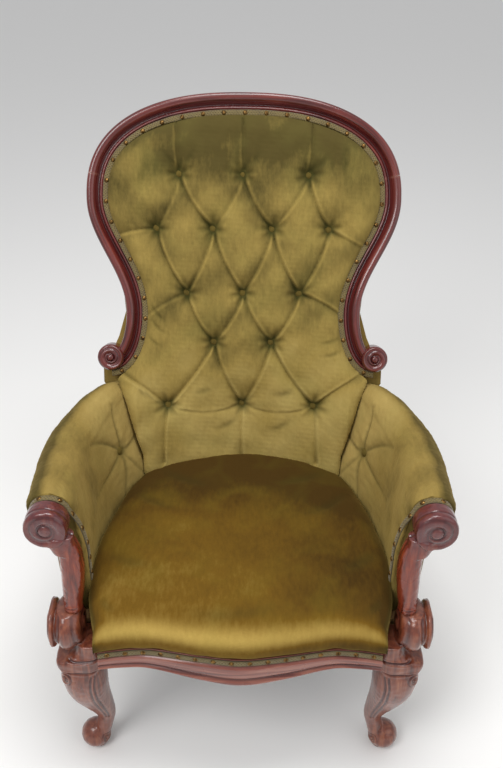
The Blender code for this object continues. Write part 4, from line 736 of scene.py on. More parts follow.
def pad_surface(x, rise, outline):
    """Lift, fold and nap of the buttoned velvet; the fold is painted as shade, and the nap carries painted
    highlights and painted light.
    """
    edge = nearest(x, rise, outline)
    valley, lip = np.zeros(x.shape), np.zeros(x.shape)
    for start, end, bow, strength in pleats():
        gap, at = to_line(x, rise, bent(start, end, bow))
        deep = strength * (0.50 + 0.50 * np.abs(2 * at - 1) ** 1.6)
        drawn = 0.5 * np.exp(-np.abs(gap) / PLEAT_SHARP) + 0.5 * np.exp(-np.abs(gap) / PLEAT_SOFT)
        valley = np.maximum(valley, deep * drawn)
        lip = np.maximum(lip, deep * np.exp(-((gap - 0.0045) / 0.0035) ** 2))
    # small gathers stand like a star round each button
    near, star = nearest(x, rise, buttons()), np.zeros(x.shape)
    for n, (a, b) in enumerate(buttons()):
        away = np.hypot(x - a, rise - b)
        star += np.cos(7 * np.arctan2(rise - b, x - a) + 1.3 * n) * np.exp(-((away - 0.019) / 0.010) ** 2)
    dimple = np.exp(-(near / DIMPLE_R) ** 1.25)
    puff = (1 - 0.76 * valley) * (1 - dimple) + 0.17 * lip + 0.06 * star
    lift = pad_level(x, rise) + PAD_CROWN * puff - 0.0035 * np.exp(-(near / 0.011) ** 2)
    # painted shade down in the pleats and the dimples, a little less on the gathers round each button; the
    # small creases below are painted as shade too
    fold = np.clip(1.1 * valley ** 3 + 1.0 * np.exp(-(near / 0.0150) ** 2) - 0.15 * star, 0, 1)
    for start, end, bow, width, depth in CREASES:
        gap, at = to_line(x, rise, bent(start, end, bow))
        mark = np.exp(-(gap / width) ** 2) * np.sin(math.pi * np.clip(at, 0.04, 0.96))
        lift = lift - depth * mark
        fold = np.maximum(fold, 0.35 * mark)
    place = np.stack([x, rise, 0 * x], -1)
    lift = lift + 0.0012 * uneven(place, 0.05, 3) + 0.0004 * uneven(place, 0.012, 4)
    # the edge is held down under the gimp along the frame, and sinks softly beside the arms
    held = ease(rise, -0.06, 0.0)
    rim = (-STRIP_DROP - 0.0012) * held + (lift - 0.015) * (1 - held)
    roll = np.sqrt(1 - (1 - np.clip(edge / (PAD_ROLL + 0.004 * held), 0, 1)) ** 2)
    lift = rim + (lift - rim) * roll
    # the nap: brushed patches, darker towards the top, a painted highlight on the lip beside each pleat,
    # painted shade in the pleats, and painted light on the lower part of the back
    nap = 0.15 * uneven(place, 0.09, 5) - 0.46 * ease(rise, 0.27, 0.46) + 0.45 * lip - 0.4 * valley
    nap = nap + 0.35 * (1 - ease(rise, -0.12, 0.10))
    return lift, fold, nap


def make_back_pad():
    """The buttoned pad: rows of points that widen and narrow with the frame, arched under the crest."""
    outline = pad_outline()
    whole = np.concatenate([outline, outline * (-1, 1)])
    sides = outline[outline[:, 0] > 0.15][::-1]
    corner, corner_x = sides[-1, 1], sides[-1, 0]
    top = outline[outline[:, 1] > WIDE_RISE]
    across = crowded(300, 0.93)
    level = PAD_FOOT + (corner - PAD_FOOT) * (1 - (1 - np.linspace(0, 1, 360)) ** 1.15)
    half = np.interp(level, sides[:, 1], sides[:, 0])
    x = across[None, :] * half[:, None]
    arch = np.interp(np.abs(across) * corner_x, top[:, 0], top[:, 1])[None, :] - corner
    rise = level[:, None] + arch * ease(level, corner - 0.09, corner)[:, None]
    lift, fold, nap = pad_surface(x, rise, whole)
    shape = Shape()
    along, up, out = pad_corners(x, rise, lift, pad_rear(rise))
    shape.grid(on_back(along, up, out), np.stack([along, up], -1), np.pad(fold, 1, mode="edge"),
               np.pad(nap, 1, mode="edge"))
    lid(shape, *along.shape)
    pad = finished("buttoned_back", shape.mesh("buttoned_back"), BACK_VELVET, ["back_pad"],
                   sharp=70)


def domes_on_points():
    """A node tree that sets a domed head on each point, facing the way its point faces."""
    tree = bpy.data.node_groups.new("domed_heads", "GeometryNodeTree")
    face = tree.interface
    face.new_socket("Points", in_out="INPUT", socket_type="NodeSocketGeometry")
    for label in ("Radius", "Height"):
        face.new_socket(label, in_out="INPUT", socket_type="NodeSocketFloat")
    face.new_socket("Steps round", in_out="INPUT", socket_type="NodeSocketInt")
    face.new_socket("Finish", in_out="INPUT", socket_type="NodeSocketMaterial")
    face.new_socket("Heads", in_out="OUTPUT", socket_type="NodeSocketGeometry")
    given = add(tree, "NodeGroupInput").outputs
    ball = add(tree, "GeometryNodeMeshUVSphere", {"Segments": given["Steps round"]},
               {"Rings": 12, "Radius": 1.0})
    facing = add(tree, "GeometryNodeInputNamedAttribute", inputs={"Name": "facing"}, data_type="FLOAT_VECTOR")
    turned = add(tree, "FunctionNodeAlignRotationToVector", {"Vector": facing.outputs["Attribute"]}, axis="Z")
    size = add(tree, "ShaderNodeCombineXYZ",
               {"X": given["Radius"], "Y": given["Radius"], "Z": given["Height"]})
    heads = add(tree, "GeometryNodeInstanceOnPoints",
                {"Points": given["Points"], "Instance": ball.outputs["Mesh"],
                 "Rotation": turned.outputs["Rotation"], "Scale": size.outputs["Vector"]})
    real = add(tree, "GeometryNodeRealizeInstances", {"Geometry": heads.outputs["Instances"]})
    painted = add(tree, "GeometryNodeSetMaterial",
                  {"Geometry": real.outputs["Geometry"], "Material": given["Finish"]})
    add(tree, "NodeGroupOutput", {"Heads": painted.outputs["Geometry"]})
    return tree


DOMES = domes_on_points()


def heads(name, places, facings, radius, height, material, slot, nodes, steps=16):
    """Domed heads, such as studs or covered buttons, set at places in the chair's own frame."""
    mesh = bpy.data.meshes.new(name)
    mesh.from_pydata((np.array(places) + np.array(SHIFT)).tolist(), [], [])
    way = mesh.attributes.new("facing", "FLOAT_VECTOR", "POINT")
    way.data.foreach_set("vector", np.array(facings, dtype="f").reshape(-1))
    obj = bpy.data.objects.new(name, mesh)
    bpy.context.scene.collection.objects.link(obj)
    rule = obj.modifiers.new("heads", "NODES")
    rule.node_group = DOMES
    sockets = {item.name: item.identifier for item in DOMES.interface.items_tree if item.in_out == "INPUT"}
    inputs = (("Radius", radius), ("Height", height), ("Steps round", steps), ("Finish", material))
    for label, value in inputs:
        rule[sockets[label]] = value
    mesh = applied(obj)
    mesh.shade_smooth()
    return finished(name, mesh, material, nodes)


def make_back_buttons():
    """Fifteen velvet-covered buttons, each at the bottom of its dimple."""
    places = [on_back(x, rise, pad_level(x, rise) - 0.0008) for x, rise in buttons()]
    out = (0.0, -math.cos(RAKE), math.sin(RAKE))
    nodes = [f"back_button_{n:02d}" for n in range(1, len(places) + 1)]
    heads("covered_buttons_of_the_back", places, [out] * len(places), BUTTON_R * 0.86, BUTTON_H * 0.7,
          BUTTON_VELVET_IN_PAINTED_SHADE, "velvet", nodes, steps=24)


# The seat
SEAT_PROUD = 0.0035          # how far the cloth stands before the rail's face
SEAT_DEPTH = SEAT_BACK_Y - FRONT_RAIL_Y + SEAT_PROUD
# The seat from its front edge back, as how far in and how high
SEAT_PROFILE = ((0.004, SEAT_FOOT), (0.0, 0.352), (-0.0025, 0.365), (-0.001, 0.380), (0.006, 0.394),
                (0.018, 0.404), (0.035, 0.4105), (0.06, 0.4145), (0.10, 0.4165), (0.14, 0.417),
                (0.20, 0.4160), (0.30, 0.411), (0.40, 0.405), (SEAT_DEPTH, 0.401))
# Creases of the seat as ends (x, y), bow, width and depth
SEAT_CREASES = (((-0.205, -0.020), (-0.120, -0.075), 0.010, 0.010, 0.0035),
                ((0.205, -0.020), (0.110, -0.090), -0.012, 0.010, 0.0035),
                ((-0.160, 0.050), (-0.060, 0.000), 0.008, 0.012, 0.0030),
                ((0.165, 0.045), (0.070, 0.010), -0.008, 0.012, 0.0030),
                ((-0.235, -0.200), (-0.150, -0.230), 0.008, 0.012, 0.0022),
                ((0.238, -0.190), (0.170, -0.240), -0.008, 0.012, 0.0022),
                ((-0.090, -0.330), (0.060, -0.325), 0.010, 0.012, 0.0016),
                ((-0.232, -0.300), (-0.205, -0.330), 0.004, 0.007, 0.0030),
                ((0.232, -0.300), (0.205, -0.330), -0.004, 0.007, 0.0030))


def make_seat():
    """The sprung seat: a rolled front, rounded sides, a sagging middle and creases towards the corners."""
    chain = rounded(SEAT_PROFILE, 12)
    far = lengths(chain)
    at = np.concatenate([np.linspace(0, 0.13, 62)[:-1], np.linspace(0.13, far[-1], 150)])
    inset, height = np.interp(at, far, chain[:, 0]), np.interp(at, far, chain[:, 1])
    across = crowded(230, 0.9)
    share = inset[:, None] / SEAT_DEPTH
    flat_x = across[None, :] * 0.24
    front = front_rail_y(flat_x) - SEAT_PROUD
    back = SEAT_BACK_Y - 0.040 * (flat_x / 0.19) ** 2
    y = front + (back - front) * share
    half = seat_side(np.maximum(y, -0.342)) - 0.0012
    x = across[None, :] * half
    edge = half - np.abs(x)
    soft = np.clip(1 - edge / SEAT_EDGE_ROUND, 0, 1)
    up = ease(height, 0.352, 0.405)[:, None]
    sides_down = 0.026 * up * (1 - np.sqrt(1 - soft ** 2 * 0.998)) * (1 - 0.8 * ease(y, -0.06, 0.04))
    sag = SEAT_SAG * ease(share, 0.05, 0.45) * np.exp(-((x + 0.01) / 0.13) ** 2 - ((y + 0.10) / 0.15) ** 2)
    z = height[:, None] - sides_down - sag
    place = np.stack([x, y, 0 * x], -1)
    z = z + up * (0.0022 * uneven(place, 0.13, 11) + 0.0007 * uneven(place, 0.030, 12))
    # painted shade where the sides round down beside the arms, and in the creases
    fold = 0.55 * ease(soft, 0.80, 1.0) * np.ones(x.shape)
    for start, end, bow, width, depth in SEAT_CREASES:
        gap, along = to_line(x, y, bent(start, end, bow))
        mark = np.exp(-(gap / width) ** 2) * np.sin(math.pi * np.clip(along, 0.03, 0.97)) ** 0.7
        z = z - depth * mark * up
        fold = np.maximum(fold, 0.30 * mark)
    # small gathers above the gimp, where the cloth is tacked down
    gathers = uneven(np.stack([x, 0 * x, 0 * x], -1), 0.035, 13)
    low = 1 - ease(height, 0.352, 0.385)[:, None]
    y = y - 0.0011 * low * gathers
    # painted shade under the front roll, down to the gimp
    fold = np.maximum(fold, 0.6 * (1 - ease(height, SEAT_FOOT, 0.352))[:, None])
    # the pile and painted light: a painted highlight along the front roll, painted shade where the sides
    # round down, darker towards the back and the right, and a faint swirl of brushed pile at the left
    swirl = np.hypot(x + 0.10, (y + 0.24) * 1.4)
    brushed = np.sin(swirl / 0.0085 + 2.0 * uneven(place, 0.10, 14)) * np.exp(-(swirl / 0.075) ** 2)
    band = np.exp(-((height[:, None] - 0.388) / 0.017) ** 2) * np.exp(-(inset[:, None] / 0.035) ** 2)
    nap = 0.85 * band + 0.04 * brushed + 0.05 * uneven(place, 0.12, 15)
    nap = nap - 0.50 * ease(y, -0.14, 0.06) - 0.25 * ease(x, 0.02, 0.20) - 0.3 * ease(soft, 0.4, 1.0)
    nap = nap + 0.14 * ease(share, 0.02, 0.10) * (1 - ease(share, 0.10, 0.50)) * ease(-x, -0.10, 0.10)
    across_x, along_y, tall = pad_corners(x, y, z, SEAT_FOOT)
    shape = Shape()
    shape.grid(np.stack([across_x, along_y, tall], -1), np.stack([across_x, along_y], -1),
               np.pad(fold, 1, mode="edge"), np.pad(nap, 1, mode="edge"))
    lid(shape, *across_x.shape)
    seat = finished("sprung_seat", shape.mesh("sprung_seat"), SEAT_VELVET, ["seat_cushion"])


# The arms
# Folds from the arm's button, and pulls behind the post, as ends (y, z), bow and depth
ARM_BUTTON = (ARM_BUTTON_Y, ARM_BUTTON_Z)
ARM_FOLDS = ((ARM_BUTTON, (-0.075, 0.548), 0.010, 0.9), (ARM_BUTTON, (-0.130, 0.470), -0.012, 0.8),
             (ARM_BUTTON, (-0.030, 0.352), -0.006, 0.8), (ARM_BUTTON, (0.070, 0.548), -0.006, 1.0),
             (ARM_BUTTON, (0.130, 0.455), 0.004, 0.8), (ARM_BUTTON, (0.075, 0.360), 0.006, 0.6),
             ((-0.262, 0.525), (-0.215, 0.500), 0.003, 0.45), ((-0.262, 0.470), (-0.215, 0.460), 0.002, 0.40),
             ((-0.262, 0.425), (-0.220, 0.420), 0.002, 0.35), ((-0.262, 0.555), (-0.222, 0.545), 0.002, 0.45))


def arm_outline(y):
    """Section of the arm at one place: its points (x, z), and whether each is covered cloth that shows."""
    foot, base = seat_side(y) + 0.0003, RAIL_TOP + 0.0021
    x, z, r = arm_roll(y)
    lean = x - 0.985 * r
    t = np.linspace(0, 1, 70)[:-1]
    wall = np.stack([foot + (lean - foot) * t ** 1.1 - 0.004 * np.sin(math.pi * t),
                     base + (z + 0.17 * r - base) * t], 1)
    turn = np.radians(np.linspace(170, -52, 96))
    roll = np.stack([x + r * np.cos(turn), z + r * np.sin(turn)], 1)
    slot, thick = x - ARM_RAIL_IN, ARM_RAIL_HALF
    back = np.array(((slot + thick, z - 0.88 * r), (slot + thick, z + 0.0065), (slot - thick, z + 0.0065),
                     (slot - thick, z - 0.9 * r), (foot + 0.024, base + 0.045), (foot + 0.024, base)))
    shows = np.concatenate([np.ones(len(wall) + len(roll)), np.zeros(len(back))])
    return np.concatenate([wall, roll, back]), shows


def make_arms():
    """Both padded arms: sections from the post back, with the button's folds and the puckers by the gimp."""
    ys = np.concatenate([np.linspace(KNOB_BACK + 0.0003, KNOB_BACK + 0.030, 26)[:-1],
                         np.linspace(KNOB_BACK + 0.030, ARM_BACK, 135)])
    sections = [arm_outline(y) for y in ys]
    points = np.stack([np.column_stack([section[:, 0], np.full(len(section), y), section[:, 1]])
                       for y, (section, _) in zip(ys, sections)])
    shows = np.stack([mask for _, mask in sections])
    far = np.stack([lengths(section) for section, _ in sections])
    out = normals(points)
    middle = np.stack([np.stack([arm_roll(y)[0], y, arm_roll(y)[1]]) for y in ys])[:, None, :]
    on_the_roll = slice(70, 160)
    if np.mean(np.sum((points - middle) * out, -1)[:, on_the_roll]) < 0:
        out = -out
    y, z = points[..., 1], points[..., 2]
    inner = shows * (1 - ease(points[..., 0] - middle[..., 0], -0.012, 0.010))
    near = np.hypot(y - ARM_BUTTON_Y, z - ARM_BUTTON_Z)
    depth = 0.010 * np.exp(-(near / 0.020) ** 1.3) * inner
    # painted shade in the button's dimple and down its folds
    fold = 0.9 * np.exp(-(near / 0.0125) ** 2) * inner
    lip = np.zeros(y.shape)
    for start, end, bow, strength in ARM_FOLDS:
        gap, at = to_line(y, z, bent(start, end, bow))
        deep = strength * inner * (0.25 + 0.75 * np.abs(1 - at) ** 0.8) * (1 - ease(at, 0.93, 1.0))
        depth = np.maximum(depth, 0.0075 * deep * np.exp(-np.abs(gap) / 0.0075))
        fold = np.maximum(fold, 0.75 * deep * np.exp(-(gap / 0.0038) ** 2))
        lip = np.maximum(lip, deep * np.exp(-((gap - 0.005) / 0.004) ** 2))
    front = np.exp(-(y - KNOB_BACK) / 0.018)
    puckers = uneven(np.stack([far, 0 * far, 0 * far], -1), 0.022, 21)
    place = np.stack([far, y, 0 * y], -1)
    shift = 0.0012 * uneven(place, 0.055, 22) + 0.0004 * uneven(place, 0.012, 23) - depth + 0.0012 * lip
    shift = shift + 0.0016 * puckers * front - 0.003 * np.exp(-(y - KNOB_BACK) / 0.007)
    shift = shift + 0.0020 * np.sin(math.pi * np.clip((y - KNOB_BACK) / 0.43, 0, 1))
    points = points + out * (shift * shows)[..., None]
    # painted shade at the foot of the arm by the seat rail, and in the puckers by the gimp
    fold = np.maximum(fold, 0.5 * np.exp(-(z - RAIL_TOP) / 0.010) * inner)
    fold = np.maximum(fold, 0.35 * front * np.clip(-puckers, 0, 1))
    turn = ease(points[..., 0] - middle[..., 0], 0.000, 0.030)
    # the pile and painted light: darker round the outside of the roll, and painted light on the inside
    # towards the back, against the shade beside the back
    nap = 0.16 * uneven(place, 0.09, 24) - 0.6 * turn + 0.08 * (1 - turn)
    nap = nap + 0.60 * inner * ease(y, -0.08, 0.08)
    shape = Shape()
    shape.grid(points, np.stack([far, y], -1), fold, nap, round_columns=True, capped=True)
    for name, side in (("right", shape), ("left", shape.mirrored())):
        arm = finished(f"padded_arm_{name}", side.mesh(f"padded_arm_{name}"), ARM_VELVET,
                       [f"inside_arm_pad_{name}"], sharp=75)
    wall = points[np.argmin(np.abs(ys - ARM_BUTTON_Y)), :70]
    wall_x = float(np.interp(ARM_BUTTON_Z, wall[:, 2], wall[:, 0]))
    for name, side in (("right", 1), ("left", -1)):
        heads(f"covered_button_of_the_{name}_arm", [(side * (wall_x + 0.001), ARM_BUTTON_Y, ARM_BUTTON_Z)],
              [(-side * 0.88, -0.38, 0.28)], BUTTON_R, BUTTON_H * 0.8, BUTTON_VELVET_IN_PAINTED_SHADE, "velvet",
              [f"arm_button_{name}"], steps=24)


def two_sided(shape, outer, inner, fold=0.0, nap=0.0):
    """A thin closed sheet between two grids of points."""
    both = np.concatenate([outer, inner[:, ::-1]], 1)
    shades = [np.broadcast_to(value, outer.shape[:2]) for value in (fold, nap)]
    fold, nap = [np.concatenate([shade, shade[:, ::-1]], 1) for shade in shades]
    shape.grid(both, both[..., 1:], fold, nap, round_columns=True, capped=True)


def make_outside_arms():
    """The velvet outside each arm, from the seat rail up to the arm's wooden rail."""
    ys = np.linspace(KNOB_BACK - 0.0140, ARM_BACK, 110)
    up = np.linspace(0, 1, 70)
    x, z, _ = arm_roll(ys)
    low = np.stack([seat_side(ys) + RAIL_T + 0.0023, ys, np.full(len(ys), RAIL_BOTTOM)], 1)
    top = np.stack([x - ARM_RAIL_IN, ys, z - 0.0068 - ARM_RAIL_HALF], 1)
    middle = low[:, None] + (top - low)[:, None] * up[None, :, None]
    place = np.stack([middle[..., 1], middle[..., 2], 0 * middle[..., 0]], -1)
    hollow = 0.006 * np.sin(math.pi * up)[None, :] * np.sin(math.pi * np.linspace(0, 1, len(ys)))[:, None]
    slack = 0.0010 * uneven(place, 0.07, 31) * np.sin(math.pi * up)[None, :] - hollow
    outer = middle + np.stack([slack + COVER_HALF, 0 * slack, 0 * slack], -1)
    inner = middle + np.stack([slack - COVER_HALF, 0 * slack, 0 * slack], -1)
    # painted shade along the cover's top and bottom edges
    fold = 0.7 * np.clip(ease(-up, -0.06, 0.0) + ease(up, 0.94, 1.0), 0, 1)[None, :]
    nap = 0.12 * uneven(place, 0.11, 32) - 0.1
    shape = Shape()
    two_sided(shape, outer, inner, fold, nap)
    for name, side in (("right", shape), ("left", shape.mirrored())):
        cover = finished(f"outside_of_the_{name}_arm", side.mesh(f"outside_of_the_{name}_arm"),
                         OUTSIDE_VELVET, [f"outside_arm_cover_{name}"], sharp=60)


# The outside cover of the back below the scrolls, as (z, half-width, y), and above them as (rise, half-width)
COVER_KNOTS = ((0.292, 0.2305, 0.2368), (0.342, 0.2305, 0.2228), (0.433, 0.2455, 0.2053),
               (0.489, 0.2625, 0.2043), (0.530, 0.282, 0.2048))
COVER_HALVES = ((-0.022, 0.282), (0.0, 0.2675), (0.04, 0.2495), (0.09, 0.235), (0.14, 0.240), (0.19, 0.2595),
                (0.24, 0.2785), (0.28, 0.2885))


def make_outside_back():
    """The velvet over the back's rear, from the seat rail to just below the crest."""
    frame_line = horseshoe()
    frame_line = frame_line[frame_line[:, 1] > WAIST_RISE][::-1]
    rows = [(half, y, z) for z, half, y in COVER_KNOTS]
    for rise, half in COVER_HALVES:
        spot = on_back(0.0, rise, pad_rear(rise) - 0.005)
        rows.append((half, spot[1], spot[2]))
    onto_frame = COVER_HALVES[-1][0]
    for share in (0.17, 0.37, 0.56, 0.74, 0.86, 0.94, 1.0):
        rise = onto_frame + (CREST_RISE - 0.025 - onto_frame) * share
        spot = on_back(0.0, rise, -FRAME_T - 0.0003)
        rows.append((float(np.interp(rise, frame_line[:, 1], frame_line[:, 0])), spot[1], spot[2]))
    rows = evenly(np.array(rows), 0.006)
    across = np.linspace(-1, 1, 90)
    x = rows[:, :1] * across
    y, z = np.broadcast_to(rows[:, 1:2], x.shape), np.broadcast_to(rows[:, 2:], x.shape)
    share = np.linspace(0, 1, len(rows))[:, None]
    place = np.stack([x, z, 0 * x], -1)
    taut = np.sin(math.pi * share) * (1 - across ** 2)
    shift = taut * (0.0010 * uneven(place, 0.09, 41) - 0.0012)
    inner = np.stack([x, y + shift, z], -1)
    outer = np.stack([x, y + shift + 2 * COVER_HALF, z], -1)
    # painted shade along the cover's edges
    edge = ease(np.abs(across), 0.965, 1.0)[None, :] + ease(share, 0.985, 1.0) + ease(-share, -0.012, 0.0)
    edge = np.clip(edge, 0, 1)
    shape = Shape()
    two_sided(shape, outer, inner, 0.6 * edge, 0.12 * uneven(place, 0.14, 42) - 0.1)
    back = finished("outside_of_the_back", shape.mesh("outside_of_the_back"), OUTSIDE_VELVET,
                    ["outside_back_cover"], sharp=60)


# Gimp and studs
def braided(shape, path, out, width, thickness):
    """A plaited ribbon along a path, whose out vectors point away from what it covers."""
    step = np.gradient(path, axis=0)
    step /= np.linalg.norm(step, axis=1, keepdims=True)
    across = np.cross(step, out)
    across /= np.linalg.norm(across, axis=1, keepdims=True)
    far = lengths(path)[:, None]
    u = np.linspace(-1, 1, 17)[None, :]
    plait, twist = 0.0052, 0.0016
    cords = [np.abs(np.sin(math.pi * (far / plait + way * u * 0.95))) for way in (1, -1)]
    relief = np.maximum(cords[0] * 0.95, cords[1])
    turns = 0.65 + 0.35 * np.abs(np.sin(math.pi * far / twist + u))
    edge_cord = np.exp(-((np.abs(u) - 0.84) / 0.13) ** 2) * turns
    height = np.maximum(relief * (1 - ease(np.abs(u), 0.62, 0.74)), edge_cord)
    lift = thickness * (0.45 + 0.75 * height) * (1 - 0.6 * ease(np.abs(u), 0.90, 1.0))
    wander = 0.0003 * uneven(np.stack([far[:, 0], 0 * far[:, 0]], -1), 0.03, 51)[:, None]
    top = path[:, None] + across[:, None] * (u * width / 2 + wander)[..., None]
    top = top + out[:, None] * lift[..., None]
    under = path[:, None] + across[:, None] * (np.array([[-0.96, 0.96]]) * width / 2)[..., None]
    points = np.concatenate([top, under[:, ::-1]], 1)
    places = np.stack(np.broadcast_arrays(far, np.concatenate([u, [[1.0, -1.0]]], 1) * width / 2), -1)
    # the fold marks the low places between the cords and the underside, painted as shade
    fold = np.concatenate([1 - ease(height, 0.2, 0.8), np.ones((len(path), 2))], 1)
    shape.grid(points, places, fold, 0.0, round_columns=True, capped=True)


def at_pitch(path, pitch):
    """Numbers of the path's points at an even pitch, half a pitch in from each end."""
    far = lengths(path)
    count = max(1, int(round(far[-1] / pitch)))
    return np.searchsorted(far, (np.arange(count) + 0.5) * far[-1] / count)


def studded(name, path, out, pitch, node):
    """Gimp along a path with a brass stud at every pitch."""
    shape = Shape()
    braided(shape, path, out, GIMP_W, GIMP_T * 0.8)
    finished(name, shape.mesh(name), GIMP, [node])
    marks = at_pitch(path, pitch)
    rng = np.random.default_rng(len(path))
    facing = out[marks] + rng.normal(scale=0.06, size=(len(marks), 3))
    heads(f"studs_of_{name}", path[marks] + out[marks] * GIMP_T * 0.55, facing, STUD_R, STUD_H, BRASS,
          "brass", [])


def make_gimps():
    """Gimp round the back, round the front of each arm, and along the front of the seat."""
    line = full_horseshoe()
    line = line + sideways(line) * (MOULD_W / 2 + STRIP_W / 2)
    line = evenly(line, GIMP_STEP)
    forward = np.array((0.0, -math.cos(RAKE), math.sin(RAKE)))
    path = on_back(line[:, 0], line[:, 1], 0.0004 - STRIP_DROP)
    studded("gimp_round_the_back", path, np.broadcast_to(forward, path.shape), BACK_STUD_PITCH,
            "back_gimp")
    turn = np.radians(np.arange(-25, 177, 3.0))
    r = KNOB_R - 0.0037
    inner = float(seat_side(KNOB_BACK)) - 0.0085
    around = np.stack([KNOB_X + r * np.cos(turn), KNOB_Z + r * np.sin(turn)], 1)
    down = ((inner + 0.010, 0.548), (inner + 0.004, 0.525), (inner, 0.495), (inner, 0.46), (inner, 0.425))
    edge = evenly(rounded(np.concatenate([around[::4], down]), 10), GIMP_STEP)
    aside = -sideways(edge)
    path = np.stack([edge[:, 0], np.full(len(edge), KNOB_BACK - 0.0005 - GIMP_W / 2), edge[:, 1]], 1)
    out = np.stack([aside[:, 0], 0 * aside[:, 0], aside[:, 1]], 1)
    if np.sum(out[:40] * (path[:40] - np.array((KNOB_X, 0, KNOB_Z)))) < 0:
        out = -out
    for name, side in (("right", 1), ("left", -1)):
        way = np.array((side, 1, 1))
        studded(f"gimp_of_the_{name}_arm", path * way, out * way, ARM_STUD_PITCH, f"arm_gimp_{name}")
    x = np.linspace(-FRONT_RAIL_END, FRONT_RAIL_END, 560)
    path = np.stack([x, front_rail_y(x) - 0.0008, np.full(len(x), RAIL_TOP - GIMP_W / 2 - 0.0005)], 1)
    way = np.gradient(path, axis=0)
    out = np.stack([way[:, 1], -way[:, 0], 0 * x], 1)
    out /= np.linalg.norm(out, axis=1, keepdims=True)
    studded("gimp_of_the_seat", path, out, SEAT_STUD_PITCH, "front_gimp")


# Solid carving: rough bodies fused into one surface, then cut with lines and scrolls
def ring_body(work, rings):
    """Adds a closed body through rings of points to a bmesh."""
    loops = [[work.verts.new(p) for p in ring] for ring in rings]
    for a, b in zip(loops, loops[1:]):
        for i in range(len(a)):
            j = (i + 1) % len(a)
            work.faces.new((a[i], a[j], b[j], b[i]))
    work.faces.new(loops[0][::-1])
    work.faces.new(loops[-1])


def oval(x, y, z, half_x, half_y, power, count=48):
    """A level ring of points: an ellipse at power 2, and squarer above it."""
    turn = 2 * math.pi * (np.arange(count) + 0.5) / count
    c, s = np.cos(turn), np.sin(turn)
    return np.stack([x + half_x * np.sign(c) * np.abs(c) ** (2 / power),
                     y + half_y * np.sign(s) * np.abs(s) ** (2 / power), np.full(count, z)], 1)


def lathe(work, profile, origin, axis, up, count=56):
    """Adds a turned body, from (radius, along) points, round an axis."""
    axis, up = np.array(axis, float), np.array(up, float)
    side = np.cross(axis, up)
    turn = 2 * math.pi * np.arange(count) / count
    rings = []
    for radius, along in profile:
        circle = np.outer(np.cos(turn), up) + np.outer(np.sin(turn), side)
        rings.append(np.array(origin) + axis * along + circle * max(radius, 0.0004))
    ring_body(work, rings)


def surface_of(mesh):
    """The points of a mesh and their normals."""
    points, out = np.zeros(len(mesh.vertices) * 3), np.zeros(len(mesh.vertices) * 3)
    mesh.vertices.foreach_get("co", points)
    mesh.vertices.foreach_get("normal", out)
    return points.reshape(-1, 3), out.reshape(-1, 3)


def fused(work, name, voxel, smooth):
    """One closed mesh round all bodies of a bmesh."""
    bmesh.ops.recalc_face_normals(work, faces=work.faces)
    mesh = bpy.data.meshes.new(name)
    work.to_mesh(mesh)
    work.free()
    obj = bpy.data.objects.new(name, mesh)
    bpy.context.scene.collection.objects.link(obj)
    skin = obj.modifiers.new("skin", "REMESH")
    skin.mode, skin.voxel_size = "VOXEL", voxel
    soften = obj.modifiers.new("soften", "SMOOTH")
    soften.factor, soften.iterations = 0.5, smooth
    mesh = applied(obj)
    mesh.name = name
    return mesh


def from_line(points, line):
    """Distance of each point from a chain of points in space, and the share along it."""
    best, place = np.full(len(points), 1e3), np.zeros(len(points))
    for n, (a, b) in enumerate(zip(line, line[1:])):
        d = b - a
        t = np.clip((points - a) @ d / (d @ d), 0, 1)
        gap = np.linalg.norm(points - a - t[:, None] * d, axis=1)
        nearer = gap < best
        best = np.where(nearer, gap, best)
        place = np.where(nearer, (n + t) / (len(line) - 1), place)
    return best, place


def cut_line(points, line, width, depth, bead, out=None):
    """Height and recess of a groove along a line, with raised beads to both sides of it. Where the surface's
    own normals are given, the line is cut straight back from the front."""
    line = rounded(line, 6)
    if out is not None:
        points, line = points * (1, 0, 1), line * (1, 0, 1)
    gap, at = from_line(points, line)
    ends = ease(at, 0.0, 0.04) * (1 - ease(at, 0.96, 1.0))
    if out is not None:
        ends = ends * ease(-out[:, 1], 0.10, 0.45)
    cut = np.exp(-(gap / width) ** 2) * ends
    rise = np.exp(-((gap - 2.1 * width) / width) ** 2) * ends
    return bead * rise - depth * cut, cut


def carved_mesh(mesh, points, out, height, recess):
    """Moves a fused surface along its normals, marks its recesses to be painted as shade, and puts it in the
    chair's place.
    """
    moved = points + out * height[:, None] + np.array(SHIFT)
    mesh.vertices.foreach_set("co", moved.reshape(-1))
    mesh.attributes.new("fold", "FLOAT", "POINT").data.foreach_set("value", np.clip(recess, 0, 1).astype("f"))
    mesh.update()
    mesh.shade_smooth()
    return mesh


def other_side(mesh, name):
    """The mirror image of a mesh across the chair's middle."""
    twin = mesh.copy()
    twin.name = name
    twin.transform(Matrix.Diagonal((-1.0, 1.0, 1.0, 1.0)))
    twin.flip_normals()
    return twin


def both_sides(mesh, base, material, nodes):
    """Finishes a piece of the right side and its mirror image."""
    for side, part in (("right", mesh), ("left", other_side(mesh, f"{base}_left"))):
        part.name = f"{base}_{side}"
        finished(part.name, part, material, [f"{nodes}_{side}"])


